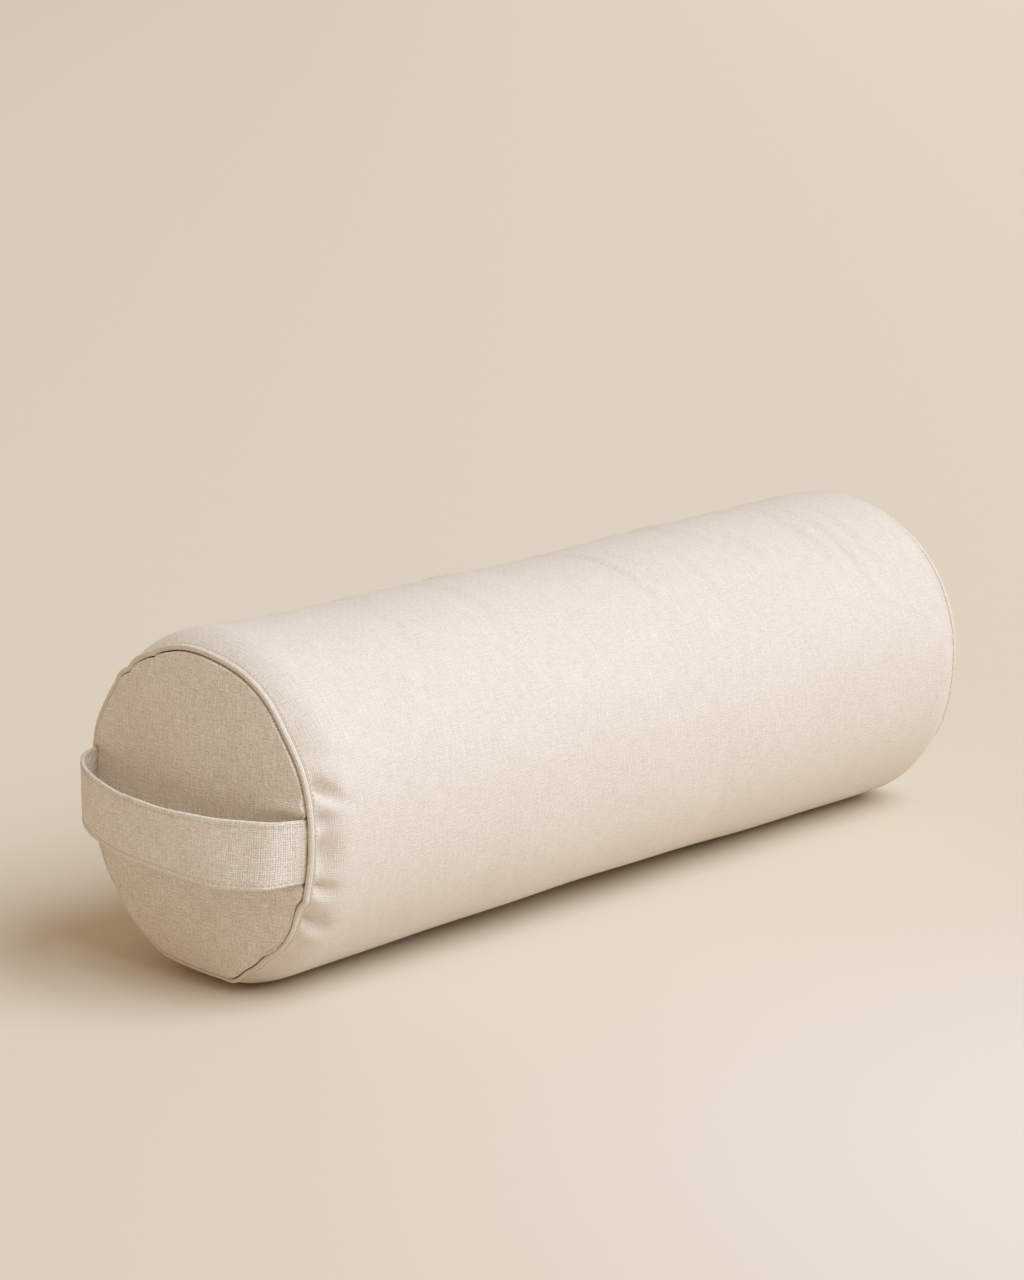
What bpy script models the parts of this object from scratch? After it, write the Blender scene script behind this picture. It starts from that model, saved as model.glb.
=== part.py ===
"""A round yoga bolster: a canvas cover with piped end seams, a carry strap and a zip, over a lined fill.

The axis of the cushion runs along X, with the carry strap at the -X end. Z is up. The origin is the
middle of the flat on which the cushion rests.
"""

import math

import bmesh
import bpy
from mathutils import Matrix

# Clearance between pieces that touch on the real object
GAP = 0.0003

# The cushion's outline, looking along its axis
LENGTH = 0.670  # from one end seam to the other
HALF_WIDTH = 0.110
TOP_RISE = 0.112  # from the axis to the top
AXIS_HEIGHT = 0.1167  # from the floor to the axis
REST_SINK = 0.0015  # how far the round would reach below the floor if it were not pressed flat
TOP_FULLNESS = 2.0  # exponent of the upper half's superellipse: 2 is an ellipse
LOWER_FULLNESS = 2.19
SEGMENTS = 36  # even steps round the outline
LEAST_STEP = math.radians(4)  # an even step nearer than this to a flat's edge is left out

# Cloths
CANVAS = 0.0012
PIPING_CLOTH = 0.0006
LINER_CLOTH = 0.0006

# End seams, as distances from the seam's plane and insets from the outline
SHOULDER_LENGTH = 0.029  # over which the barrel is drawn in to the seam
SHOULDER_POWER = 2.2
SHOULDER_RINGS = 4
INNER_SHOULDER_RINGS = 2  # in the liner and the fill
SEAM_INSET = 0.012  # at the edge of the end panel
SEAM_ALLOWANCE = 0.009
PIPING_RADIUS = 0.0024
PIPING_SIDES = 6
PANEL_BULGE = 0.012
PANEL_RINGS = 4
LINER_STEP_LENGTH = 0.003  # over which the liner steps in behind the seam allowances

# Carry strap, sewn into the front seam
STRAP_WIDTH = 0.042
STRAP_THICKNESS = 0.0027
STRAP_LIFT = -0.0046  # middle of the strap's ends above the axis
STRAP_TILT = 0.0064  # how much higher the left end is than the middle of the two
STRAP_SAG = 0.006
STRAP_RIGHT_REACH = 0.052  # the arch leaves each end like a handle of this length outwards
STRAP_RIGHT_LEAN = 0.030  # and this much towards the middle
STRAP_LEFT_REACH = 0.055
STRAP_LEFT_LEAN = 0.004
STRAP_FLATTEN = 0.025  # distance out at which the strap no longer follows the seam's curve
STRAP_STATIONS = 24
STRAP_STRIPS = 4
STRAP_STUB = 0.018  # how far each sewn end stands out of the seam before the strap starts to swing

# Zip, in the barrel's long seam, on the back and just above the middle, so that its pull lies shut
ZIP_ANGLE = math.radians(15)  # the way it faces, from +Y towards +Z
ZIP_END_DISTANCE = 0.085  # from each end seam to the zip's opening
ZIP_SLOT_LENGTH = LENGTH - 2 * ZIP_END_DISTANCE
ZIP_SLOT_WIDTH = 0.012
TAPE_THICKNESS = 0.0005
TAPE_UNDER_CLOTH = 0.010
TAPE_EDGE = 0.0015  # from the middle line to the tape's woven edge
COIL_WIDTH = 0.0024
COIL_HEIGHT = 0.0018
STOP_LENGTH = 0.004
STOP_SETBACK = 0.003  # from the slot's end to the stop
SLIDER_LENGTH = 0.012
SLIDER_WIDTH = 0.010
SLIDER_PLATE = 0.001
SLIDER_LIP = 0.0013
SLIDER_POST = 0.0012
SLIDER_POST_LENGTH = 0.003
BRIDGE_LENGTH = 0.010
BRIDGE_WIDTH = 0.002
BRIDGE_THICKNESS = 0.0011
PULL_THICKNESS = 0.0012
PULL_LENGTH = 0.028
PULL_WIDTH = 0.007
PULL_NECK = 0.006
PULL_BAR = 0.0014
PULL_HOLE_RADIUS = 0.0016
ZIP_RUN_CLEARANCE = 0.0004  # between the slider or its pull and what they pass

# Where the zip's flat lies: deep enough that both tapes lie flat behind the canvas
TAPE_REACH = ZIP_SLOT_WIDTH / 2 + TAPE_UNDER_CLOTH
ZIP_FLAT_HALF = TAPE_REACH + 0.001
COIL_BOTTOM = -CANVAS
COIL_TOP = COIL_BOTTOM + COIL_HEIGHT
TAPE_TOP = COIL_BOTTOM - GAP
TAPE_BOTTOM = TAPE_TOP - TAPE_THICKNESS
SLIDER_BOTTOM = TAPE_BOTTOM - GAP - SLIDER_PLATE
COIL_GAP = SLIDER_POST + 2 * GAP
LINER_ZIP_SINK = ZIP_RUN_CLEARANCE - SLIDER_BOTTOM

# Finishes: sRGB colour, roughness and metallic value
CANVAS_FINISH = ("E6DACB", 0.9, 0.0)
CORD_FINISH = ("EFE9DE", 0.85, 0.0)
LINER_FINISH = ("F2EEE6", 0.85, 0.0)
FILL_FINISH = ("F4F1EA", 0.95, 0.0)
TAPE_FINISH = ("DCCFBC", 0.85, 0.0)
COIL_FINISH = ("E3D8C8", 0.4, 0.0)
METAL_FINISH = ("B9B4AA", 0.35, 1.0)


def rise_and_power(up):
    """The outline's semi-axis in Z and its fullness, above the axis or below it."""
    if up >= 0:
        return TOP_RISE, TOP_FULLNESS
    return AXIS_HEIGHT + REST_SINK, LOWER_FULLNESS


def round_radius(angle, inset=0.0):
    """From the axis to the round outline, in the direction at this angle from +Y towards +Z."""
    rise, power = rise_and_power(math.sin(angle))
    across = abs(math.cos(angle)) / (HALF_WIDTH - inset)
    up = abs(math.sin(angle)) / (rise - inset)
    return (across**power + up**power) ** (-1 / power)


def touching_point(facing):
    """Where the round outline touches a plane that faces this way, and how far out that plane is."""
    rise, fullness = rise_and_power(math.sin(facing))
    power = fullness / (fullness - 1)
    wide = HALF_WIDTH * math.cos(facing)
    high = rise * math.sin(facing)
    distance = (abs(wide) ** power + abs(high) ** power) ** (1 / power)
    across = math.copysign(HALF_WIDTH * (abs(wide) / distance) ** (power - 1), wide)
    up = math.copysign(rise * (abs(high) / distance) ** (power - 1), high)
    return across, up, distance


def flat_edges(facing, distance):
    """Directions of the two places where a plane that faces this way cuts the round outline."""
    edges = []
    for side in (-1, 1):
        inner, outer = facing, facing + side * math.pi / 3
        for _ in range(40):
            middle = (inner + outer) / 2
            if round_radius(middle) * math.cos(middle - facing) > distance:
                inner = middle
            else:
                outer = middle
        edges.append(inner)
    return edges


# The zip's flat is cut a quarter deeper than a circle would need, as the outline isn't one
ZIP_ACROSS, ZIP_UP, ZIP_TOUCH = touching_point(ZIP_ANGLE)
ZIP_FLAT_DEPTH = 1.25 * ZIP_FLAT_HALF**2 / (2 * HALF_WIDTH)
ZIP_PLANE = ZIP_TOUCH - ZIP_FLAT_DEPTH


def outline_angles():
    """Even steps round the outline, with the edges of the two flats put in."""
    edges = flat_edges(ZIP_ANGLE, ZIP_PLANE) + flat_edges(-math.pi / 2, AXIS_HEIGHT)
    step = 2 * math.pi / SEGMENTS
    even = [-math.pi + step * (index + 0.5) for index in range(SEGMENTS)]
    kept = [angle for angle in even if min(abs(angle - edge) for edge in edges) > LEAST_STEP]
    return sorted(kept + edges)


ANGLES = outline_angles()


def ring(x, inset=0.0, scale=1.0, floor=0.0, zip_sink=0.0):
    """Points round the outline at x: inset all round, then flattened at the floor and at the zip."""
    points = []
    for angle in ANGLES:
        across, up = math.cos(angle), math.sin(angle)
        radius = round_radius(angle, inset)
        if up < 0:
            radius = min(radius, (AXIS_HEIGHT - floor) / -up)
        facing = math.cos(angle - ZIP_ANGLE)
        if facing > 0:
            radius = min(radius, (ZIP_PLANE - zip_sink) / facing)
        points.append((x, radius * scale * across, AXIS_HEIGHT + radius * scale * up))
    return points


def side_at(height, inset):
    """Half the width of the outline, inset all round, at this height above the axis."""
    rise, power = rise_and_power(height)
    return (HALF_WIDTH - inset) * (1 - (abs(height) / (rise - inset)) ** power) ** (1 / power)


def new_collection(name):
    collection = bpy.data.collections.new(name)
    bpy.context.scene.collection.children.link(collection)
    return collection


def clear_scene():
    for thing in list(bpy.data.objects):
        bpy.data.objects.remove(thing, do_unlink=True)


clear_scene()
PARTS = new_collection("yoga_bolster")
CUTTERS = new_collection("cutters")


def linear(hexadecimal):
    """An sRGB colour as the linear values that a shader takes."""
    shares = [int(hexadecimal[start : start + 2], 16) / 255 for start in (0, 2, 4)]
    values = [s / 12.92 if s <= 0.04045 else ((s + 0.055) / 1.055) ** 2.4 for s in shares]
    return (*values, 1.0)


def give_finish(thing, finish):
    colour, roughness, metallic = finish
    material = bpy.data.materials.new(thing.name + "_finish")
    material.use_nodes = True
    shader = material.node_tree.nodes["Principled BSDF"]
    shader.inputs["Base Color"].default_value = linear(colour)
    shader.inputs["Roughness"].default_value = roughness
    shader.inputs["Metallic"].default_value = metallic
    material.diffuse_color = linear(colour)
    thing.data.materials.append(material)


def add_object(name, data, finish, parent=None):
    """A part of the bolster, or a cutter where it has no finish."""
    thing = bpy.data.objects.new(name, data)
    thing.parent = parent
    if finish:
        PARTS.objects.link(thing)
        give_finish(thing, finish)
    else:
        CUTTERS.objects.link(thing)
        thing.hide_render = True
        thing.display_type = "WIRE"
    return thing


def mesh_from(bm, name):
    mesh = bpy.data.meshes.new(name)
    bm.to_mesh(mesh)
    bm.free()
    mesh.shade_smooth()
    mesh.set_sharp_from_angle(angle=math.radians(40))
    return mesh


def loft(name, rings, finish, front_pole=None, rear_pole=None, endless=False):
    """A skin over rings that follow each other along the piece, with its faces looking out of it."""
    bm = bmesh.new()
    loops = [[bm.verts.new(point) for point in points] for points in rings]
    count = len(ANGLES)
    following = loops[1:] + loops[:1] if endless else loops[1:]
    for near, far in zip(loops, following):
        for index in range(count):
            after = (index + 1) % count
            bm.faces.new((near[index], near[after], far[after], far[index]))
    for pole, loop, turned in ((front_pole, loops[0], True), (rear_pole, loops[-1], False)):
        if pole is None:
            continue
        tip = bm.verts.new((pole, 0.0, AXIS_HEIGHT))
        for index in range(count):
            edge = (loop[index], loop[(index + 1) % count])
            bm.faces.new((tip, *(reversed(edge) if turned else edge)))
    return add_object(name, mesh_from(bm, name), finish)


def thicken(thing, thickness, side=-1):
    """Cloth of this thickness behind a skin, or half on each side of it where side is 0."""
    solidify = thing.modifiers.new("cloth", "SOLIDIFY")
    solidify.thickness = thickness
    solidify.offset = side
    solidify.use_even_offset = True


def combine(thing, other, operation):
    boolean = thing.modifiers.new(other.name, "BOOLEAN")
    boolean.object = other
    boolean.operation = operation
    boolean.solver = "EXACT"


def box(name, low, high, finish=None, parent=None, bevel=0.0):
    """A box between two corners, with its origin at its middle."""
    bm = bmesh.new()
    bmesh.ops.create_cube(bm, size=1.0)
    sides = [far - near for near, far in zip(low, high)]
    bmesh.ops.scale(bm, vec=sides, verts=bm.verts)
    thing = add_object(name, mesh_from(bm, name), finish, parent)
    thing.location = [(near + far) / 2 for near, far in zip(low, high)]
    if bevel:
        rounding = thing.modifiers.new("rounded edges", "BEVEL")
        rounding.width = bevel
        rounding.segments = 2
    return thing


def shoulder_inset(distance):
    """How far the barrel is drawn in, at this distance from the end seam."""
    edge = 2 * PIPING_RADIUS + CANVAS / 2
    drawn = max(0.0, (SHOULDER_LENGTH - distance) / (SHOULDER_LENGTH - edge))
    return BARREL_EDGE_INSET * drawn**SHOULDER_POWER


def panel_out(share):
    """How far an end panel bulges past the seam, at this share of the way from its middle to its edge."""
    return PANEL_BULGE * (1 - share**2)


# The end seam from the outside in: the barrel's edge, the piping's two lips, the end panel's edge
LIP_OUTER = SEAM_INSET - GAP
LIP_INNER = LIP_OUTER - 2 * PIPING_CLOTH - GAP
PIPING_INSET = LIP_OUTER - PIPING_RADIUS
BARREL_EDGE_INSET = PIPING_INSET - PIPING_RADIUS / 2
BARREL_EDGE_AT = 2 * PIPING_RADIUS + GAP
STEP_SAG = HALF_WIDTH * (1 - math.cos(math.pi / SEGMENTS))  # of the outline's straight steps
STRAP_INSET = SEAM_INSET + STEP_SAG + STRAP_THICKNESS / 2
LINER_NECK_INSET = SEAM_INSET + STEP_SAG + STRAP_THICKNESS + GAP
LINER_DEPTH = CANVAS + GAP
LINER_NECK_LENGTH = SEAM_ALLOWANCE + 4 * GAP
LINER_DISC_INSET = LINER_NECK_INSET + LINER_CLOTH + GAP
FILL_DEPTH = LINER_DEPTH + LINER_CLOTH + GAP
FILL_NECK_INSET = LINER_DISC_INSET + LINER_CLOTH + GAP


def both_ends(profile):
    """A profile from the front seam plane inwards, as (distance, inset), run on to the rear seam plane."""
    front = [(distance - LENGTH / 2, inset) for distance, inset in profile]
    rear = [(LENGTH / 2 - distance, inset) for distance, inset in reversed(profile)]
    return front + rear


def at_end(profile, rear):
    """A profile as (distance, inset) pairs, placed at one end so that its faces look out."""
    if rear:
        return [(LENGTH / 2 - distance, inset) for distance, inset in reversed(profile)]
    return [(distance - LENGTH / 2, inset) for distance, inset in profile]


def shoulder_distances(nearest, count=INNER_SHOULDER_RINGS):
    """Distances from the seam at which the drawn-in shoulder has rings, from the seam inwards."""
    length = SHOULDER_LENGTH - nearest
    return [nearest + length * step / count for step in range(count + 1)]


def make_barrel():
    turned_edge = (BARREL_EDGE_AT, LIP_INNER - GAP)
    distances = shoulder_distances(BARREL_EDGE_AT, SHOULDER_RINGS)
    shoulder = [(distance, shoulder_inset(distance)) for distance in distances]
    rings = [ring(x, inset) for x, inset in both_ends([turned_edge] + shoulder)]
    barrel = loft("barrel_panel", rings, CANVAS_FINISH)
    thicken(barrel, CANVAS)
    return barrel


def make_end_panel(name, rear):
    """A domed disc of canvas with its edge turned into the cushion."""
    shares = [(step + 1) / PANEL_RINGS for step in range(PANEL_RINGS)]
    side = 1 if rear else -1
    rings = [ring(side * (LENGTH / 2 + panel_out(share)), SEAM_INSET, share) for share in shares]
    rings.append(ring(side * (LENGTH / 2 - SEAM_ALLOWANCE), SEAM_INSET))
    pole = side * (LENGTH / 2 + PANEL_BULGE)
    if rear:
        panel = loft(name, rings[::-1], CANVAS_FINISH, rear_pole=pole)
    else:
        panel = loft(name, rings, CANVAS_FINISH, front_pole=pole)
    thicken(panel, CANVAS)
    return panel


def make_piping(name, rear):
    """A strip of canvas folded round a cord, with its two lips turned into the seam."""
    profile = [(SEAM_ALLOWANCE, LIP_OUTER)]
    for step in range(PIPING_SIDES - 1):
        turn = 2 * math.pi * step / PIPING_SIDES
        distance = PIPING_RADIUS * (1 - math.sin(turn))
        profile.append((distance, PIPING_INSET + PIPING_RADIUS * math.cos(turn)))
    profile.append((2 * PIPING_RADIUS, LIP_INNER))
    profile.append((SEAM_ALLOWANCE, LIP_INNER))
    rings = [ring(x, inset) for x, inset in at_end(profile, rear)]
    piping = loft(name, rings, CANVAS_FINISH)
    thicken(piping, PIPING_CLOTH)


def make_piping_cord(name, rear):
    radius = PIPING_RADIUS - PIPING_CLOTH - GAP
    profile = []
    for step in range(PIPING_SIDES):
        turn = 2 * math.pi * step / PIPING_SIDES
        distance = PIPING_RADIUS - radius * math.sin(turn)
        profile.append((distance, PIPING_INSET + radius * math.cos(turn)))
    rings = [ring(x, inset) for x, inset in at_end(profile, rear)]
    loft(name, rings, CORD_FINISH, endless=True)


def make_liner_tube():
    """The inner bag's tube, stepped in at its ends behind the cover's seam allowances."""
    step_end = LINER_NECK_LENGTH + LINER_STEP_LENGTH
    profile = [(CANVAS, LINER_NECK_INSET), (LINER_NECK_LENGTH, LINER_NECK_INSET)]
    for distance in shoulder_distances(step_end):
        profile.append((distance, shoulder_inset(distance) + LINER_DEPTH + GAP))
    profile.append((SHOULDER_LENGTH + SEAM_ALLOWANCE, LINER_DEPTH))
    rings = [ring(x, inset, 1, LINER_DEPTH, LINER_ZIP_SINK) for x, inset in both_ends(profile)]
    liner = loft("liner_tube", rings, LINER_FINISH)
    thicken(liner, LINER_CLOTH)


def inner_dome(inset, depth):
    """Shares and distances past the seam of a dome that lies this deep behind an end panel."""
    edge_share = (HALF_WIDTH - inset) / (HALF_WIDTH - SEAM_INSET)
    shares = [(step + 1) / (PANEL_RINGS - 1) for step in range(PANEL_RINGS - 1)]
    return [(share, panel_out(share * edge_share) - depth) for share in shares]


def dome_rings(inset, depth, rear):
    side = 1 if rear else -1
    return [
        ring(side * (LENGTH / 2 + out), inset, share, depth, LINER_ZIP_SINK)
        for share, out in inner_dome(inset, depth)
    ]


def make_liner_disc(name, rear):
    side = 1 if rear else -1
    depth = LINER_DEPTH + GAP
    rings = dome_rings(LINER_DISC_INSET, depth, rear)
    rings.append(ring(side * (LENGTH / 2 - SEAM_ALLOWANCE), LINER_DISC_INSET, 1, depth, LINER_ZIP_SINK))
    pole = side * (LENGTH / 2 + PANEL_BULGE - depth)
    if rear:
        disc = loft(name, rings[::-1], LINER_FINISH, rear_pole=pole)
    else:
        disc = loft(name, rings, LINER_FINISH, front_pole=pole)
    thicken(disc, LINER_CLOTH)


def make_fill():
    """The stuffing as one body, which fills the inner bag."""
    sink = LINER_ZIP_SINK + LINER_CLOTH + GAP
    depth = FILL_DEPTH + 2 * GAP
    neck_end = LINER_NECK_LENGTH + LINER_CLOTH + GAP
    profile = [(neck_end, FILL_NECK_INSET)]
    for distance in shoulder_distances(neck_end + LINER_STEP_LENGTH + GAP):
        profile.append((distance, shoulder_inset(distance) + depth + GAP))
    profile.append((SHOULDER_LENGTH + SEAM_ALLOWANCE, depth))
    rings = dome_rings(FILL_NECK_INSET, depth, rear=False)
    rings += [ring(x, inset, 1, depth, sink) for x, inset in both_ends(profile)]
    rings += dome_rings(FILL_NECK_INSET, depth, rear=True)[::-1]
    pole = LENGTH / 2 + PANEL_BULGE - depth
    loft("fill_core", rings, FILL_FINISH, front_pole=-pole, rear_pole=pole)


def strap_line(beyond=0.0):
    """Points along the strap's middle as (distance out, across), right end first.

    The line can run on beyond both sewn ends.
    """
    end = side_at(STRAP_LIFT, STRAP_INSET)
    handles = [
        (0.0, -end),
        (STRAP_RIGHT_REACH, STRAP_RIGHT_LEAN - end),
        (STRAP_LEFT_REACH, end - STRAP_LEFT_LEAN),
        (0.0, end),
    ]
    line = [(-SEAM_ALLOWANCE - beyond, -end)]
    for station in range(STRAP_STATIONS + 1):
        t = station / STRAP_STATIONS
        weights = ((1 - t) ** 3, 3 * t * (1 - t) ** 2, 3 * t**2 * (1 - t), t**3)
        line.append(tuple(sum(w * h[axis] for w, h in zip(weights, handles)) for axis in (0, 1)))
    line.append((-SEAM_ALLOWANCE - beyond, end))
    return line


def strap_skin(name, line, width):
    """The strap's middle surface: upright, and bent with the seam where it is sewn in."""
    end = side_at(STRAP_LIFT, STRAP_INSET)
    bm = bmesh.new()
    rows = []
    for out, across in line:
        share = across / end
        middle = STRAP_LIFT + STRAP_TILT * share - STRAP_SAG * (1 - min(1.0, share**2))
        bend = max(0.0, 1 - max(0.0, out) / STRAP_FLATTEN) ** 2
        row = []
        for strip in range(STRAP_STRIPS + 1):
            height = middle + width * (strip / STRAP_STRIPS - 0.5)
            pulled = side_at(height, STRAP_INSET) - end
            side = math.copysign(1.0, across)
            y = across + side * bend * pulled
            row.append(bm.verts.new((-LENGTH / 2 - out, y, AXIS_HEIGHT + height)))
        rows.append(row)
    for near, far in zip(rows, rows[1:]):
        for strip in range(STRAP_STRIPS):
            bm.faces.new((near[strip], near[strip + 1], far[strip + 1], far[strip]))
    return mesh_from(bm, name)


def stub_ends():
    """Where across the panel the strap's line passes the stubs' reach, right side first."""
    found = []
    line = strap_line()
    for near, far in zip(line, line[1:]):
        if (near[0] - STRAP_STUB) * (far[0] - STRAP_STUB) < 0:
            share = (STRAP_STUB - near[0]) / (far[0] - near[0])
            found.append(near[1] + share * (far[1] - near[1]))
    return found


def make_strap(front_panel):
    """The strap swings as one stiff arch between two stubs that stay in the seam.

    It swings about the line through its sewn ends, and it is cut square to that line.
    """
    end = side_at(STRAP_LIFT, STRAP_INSET)
    tilt = math.atan2(STRAP_TILT, end)
    hinge = bpy.data.objects.new("strap_hinge", None)
    PARTS.objects.link(hinge)
    hinge.location = (-LENGTH / 2, 0.0, AXIS_HEIGHT + STRAP_LIFT)
    hinge.rotation_euler = (tilt, 0.0, 0.0)
    to_hinge = (Matrix.Translation(hinge.location) @ Matrix.Rotation(tilt, 4, "X")).inverted()
    right, left = [across / math.cos(tilt) for across in stub_ends()]
    past_ends = HALF_WIDTH + STRAP_WIDTH
    bounds = {
        "handle_strap": (right, left),
        "handle_root_left": (left + GAP, past_ends),
        "handle_root_right": (-past_ends, right - GAP),
    }
    far_out = STRAP_LEFT_REACH + STRAP_RIGHT_REACH
    for name, (low, high) in bounds.items():
        skin = strap_skin(name, strap_line(), STRAP_WIDTH)
        skin.transform(to_hinge)
        strap = add_object(name, skin, CANVAS_FINISH, hinge)
        thicken(strap, STRAP_THICKNESS, 0)
        corners = (-far_out, low, -past_ends), (LENGTH / 2, high, past_ends)
        combine(strap, box(name + "_bounds", *corners, parent=hinge), "INTERSECT")
    skin = strap_skin("strap_slits", strap_line(GAP), STRAP_WIDTH + 2 * GAP)
    slits = add_object("strap_slits", skin, None)
    thicken(slits, STRAP_THICKNESS + 2 * (GAP + STEP_SAG), 0)
    combine(front_panel, slits, "DIFFERENCE")


def make_zip_line():
    """An empty in the middle of the zip's flat: X along the zip, Z out of the cushion, Y downwards."""
    line = bpy.data.objects.new("zip_line", None)
    PARTS.objects.link(line)
    line.location = (
        0.0,
        ZIP_ACROSS - ZIP_FLAT_DEPTH * math.cos(ZIP_ANGLE),
        AXIS_HEIGHT + ZIP_UP - ZIP_FLAT_DEPTH * math.sin(ZIP_ANGLE),
    )
    line.rotation_euler = (ZIP_ANGLE - math.pi / 2, 0.0, 0.0)
    return line


def make_zip_chain(line, barrel):
    half = ZIP_SLOT_LENGTH / 2
    slot = box(
        "zip_slot",
        (-half, -ZIP_SLOT_WIDTH / 2, -2 * CANVAS),
        (half, ZIP_SLOT_WIDTH / 2, CANVAS),
        parent=line,
    )
    combine(barrel, slot, "DIFFERENCE")
    coil_end = half - STOP_SETBACK - STOP_LENGTH - GAP
    for name, side in (("upper", -1), ("lower", 1)):
        edges = sorted((side * TAPE_EDGE, side * TAPE_REACH))
        tape_end = half + TAPE_UNDER_CLOTH
        low = (-tape_end, edges[0], TAPE_BOTTOM)
        high = (tape_end, edges[1], TAPE_TOP)
        box("zip_tape_" + name, low, high, TAPE_FINISH, line)
        edges = sorted((side * COIL_GAP / 2, side * (COIL_GAP / 2 + COIL_WIDTH)))
        low = (-coil_end, edges[0], COIL_BOTTOM)
        high = (coil_end, edges[1], COIL_TOP)
        box("zip_coil_" + name, low, high, COIL_FINISH, line, COIL_WIDTH / 6)
    stop_half_width = COIL_GAP / 2 + COIL_WIDTH
    for name, side in (("top", 1), ("bottom", -1)):
        ends = sorted((side * (half - STOP_SETBACK), side * (half - STOP_SETBACK - STOP_LENGTH)))
        low = (ends[0], -stop_half_width, COIL_BOTTOM)
        high = (ends[1], stop_half_width, COIL_TOP + GAP)
        box("zip_" + name + "_stop", low, high, METAL_FINISH, line, STOP_LENGTH / 8)
    return coil_end


def make_slider(line, closed_at):
    """Two plates joined by a post between the chain's halves, with a bridge that holds the pull."""
    half_long, half_wide = SLIDER_LENGTH / 2, SLIDER_WIDTH / 2
    roof = COIL_TOP + GAP
    top = roof + SLIDER_PLATE
    slider = box(
        "zip_slider",
        (-half_long, -half_wide, roof),
        (half_long, half_wide, top),
        METAL_FINISH,
        line,
        SLIDER_PLATE / 3,
    )
    centre = (roof + top) / 2
    slider.location = (closed_at, 0.0, centre)

    def piece(name, low, high):
        """A piece of the slider, given in heights from the zip's flat."""
        low = (low[0], low[1], low[2] - centre)
        high = (high[0], high[1], high[2] - centre)
        return box(name, low, high, parent=slider)

    sunk = SLIDER_PLATE / 2
    post_end = half_long - SLIDER_POST_LENGTH
    joined = [
        piece(
            "slider_floor",
            (-half_long, -half_wide, SLIDER_BOTTOM),
            (half_long, half_wide, SLIDER_BOTTOM + SLIDER_PLATE),
        ),
        piece(
            "slider_post",
            (post_end, -SLIDER_POST / 2, SLIDER_BOTTOM + sunk),
            (half_long - sunk, SLIDER_POST / 2, top - sunk),
        ),
        piece(
            "slider_left_lip",
            (sunk - half_long, -half_wide + sunk / 2, COIL_BOTTOM),
            (half_long - sunk, -half_wide + SLIDER_LIP, top - sunk),
        ),
        piece(
            "slider_right_lip",
            (sunk - half_long, half_wide - SLIDER_LIP, COIL_BOTTOM),
            (half_long - sunk, half_wide - sunk / 2, top - sunk),
        ),
    ]
    pull_room = PULL_THICKNESS + 2 * ZIP_RUN_CLEARANCE
    bridge_top = top + pull_room + BRIDGE_THICKNESS
    bridge = piece(
        "slider_bridge",
        (-BRIDGE_LENGTH / 2, -BRIDGE_WIDTH / 2, top - sunk),
        (BRIDGE_LENGTH / 2, BRIDGE_WIDTH / 2, bridge_top),
    )
    eye = piece(
        "bridge_eye",
        (BRIDGE_THICKNESS - BRIDGE_LENGTH / 2, -BRIDGE_WIDTH, top),
        (BRIDGE_LENGTH / 2 - BRIDGE_THICKNESS, BRIDGE_WIDTH, bridge_top - BRIDGE_THICKNESS),
    )
    combine(bridge, eye, "DIFFERENCE")
    for other in joined + [bridge]:
        combine(slider, other, "UNION")
    return slider, top + pull_room / 2 - centre


def make_pull(slider, height):
    """A flat tab whose end bar lies under the slider's bridge; its origin is on the bar."""
    neck, wide = PULL_NECK / 2, PULL_WIDTH / 2
    bar = PULL_BAR / 2
    tail = -(PULL_LENGTH - bar - wide)
    window_end = -(BRIDGE_LENGTH / 2 + 2 * ZIP_RUN_CLEARANCE)
    shoulder = window_end - PULL_BAR
    window = BRIDGE_WIDTH / 2 + ZIP_RUN_CLEARANCE
    rounded = []
    for step in range(9):
        turn = math.pi * (0.5 + step / 8)
        rounded.append((tail + wide * math.cos(turn), wide * math.sin(turn)))
    outline = [(bar, neck), (shoulder, neck), (shoulder - bar, wide)]
    outline += rounded
    outline += [(shoulder - bar, -wide), (shoulder, -neck), (bar, -neck)]
    opening = [(-bar, window), (window_end, window), (window_end, -window), (-bar, -window)]
    hole = []
    for step in range(12):
        turn = 2 * math.pi * step / 12
        hole.append((tail + PULL_HOLE_RADIUS * math.cos(turn), PULL_HOLE_RADIUS * math.sin(turn)))
    curve = bpy.data.curves.new("zip_pull", "CURVE")
    curve.dimensions = "2D"
    curve.fill_mode = "BOTH"
    curve.extrude = PULL_THICKNESS / 2
    for points in (outline, opening, hole):
        spline = curve.splines.new("POLY")
        spline.points.add(len(points) - 1)
        for point, (x, y) in zip(spline.points, points):
            point.co = (x, y, 0.0, 1.0)
        spline.use_cyclic_u = True
    pull = add_object("zip_pull", curve, METAL_FINISH, slider)
    pull.location = (0.0, 0.0, height)


def main():
    barrel = make_barrel()
    front_panel = make_end_panel("front_end_panel", rear=False)
    make_end_panel("rear_end_panel", rear=True)
    for end, rear in (("front", False), ("rear", True)):
        make_piping(end + "_piping", rear)
        make_piping_cord(end + "_piping_cord", rear)
        make_liner_disc("liner_" + end + "_disc", rear)
    make_strap(front_panel)
    make_liner_tube()
    make_fill()
    line = make_zip_line()
    coil_end = make_zip_chain(line, barrel)
    slider, pull_height = make_slider(line, coil_end - GAP - SLIDER_LENGTH / 2)
    make_pull(slider, pull_height)


main()
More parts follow.
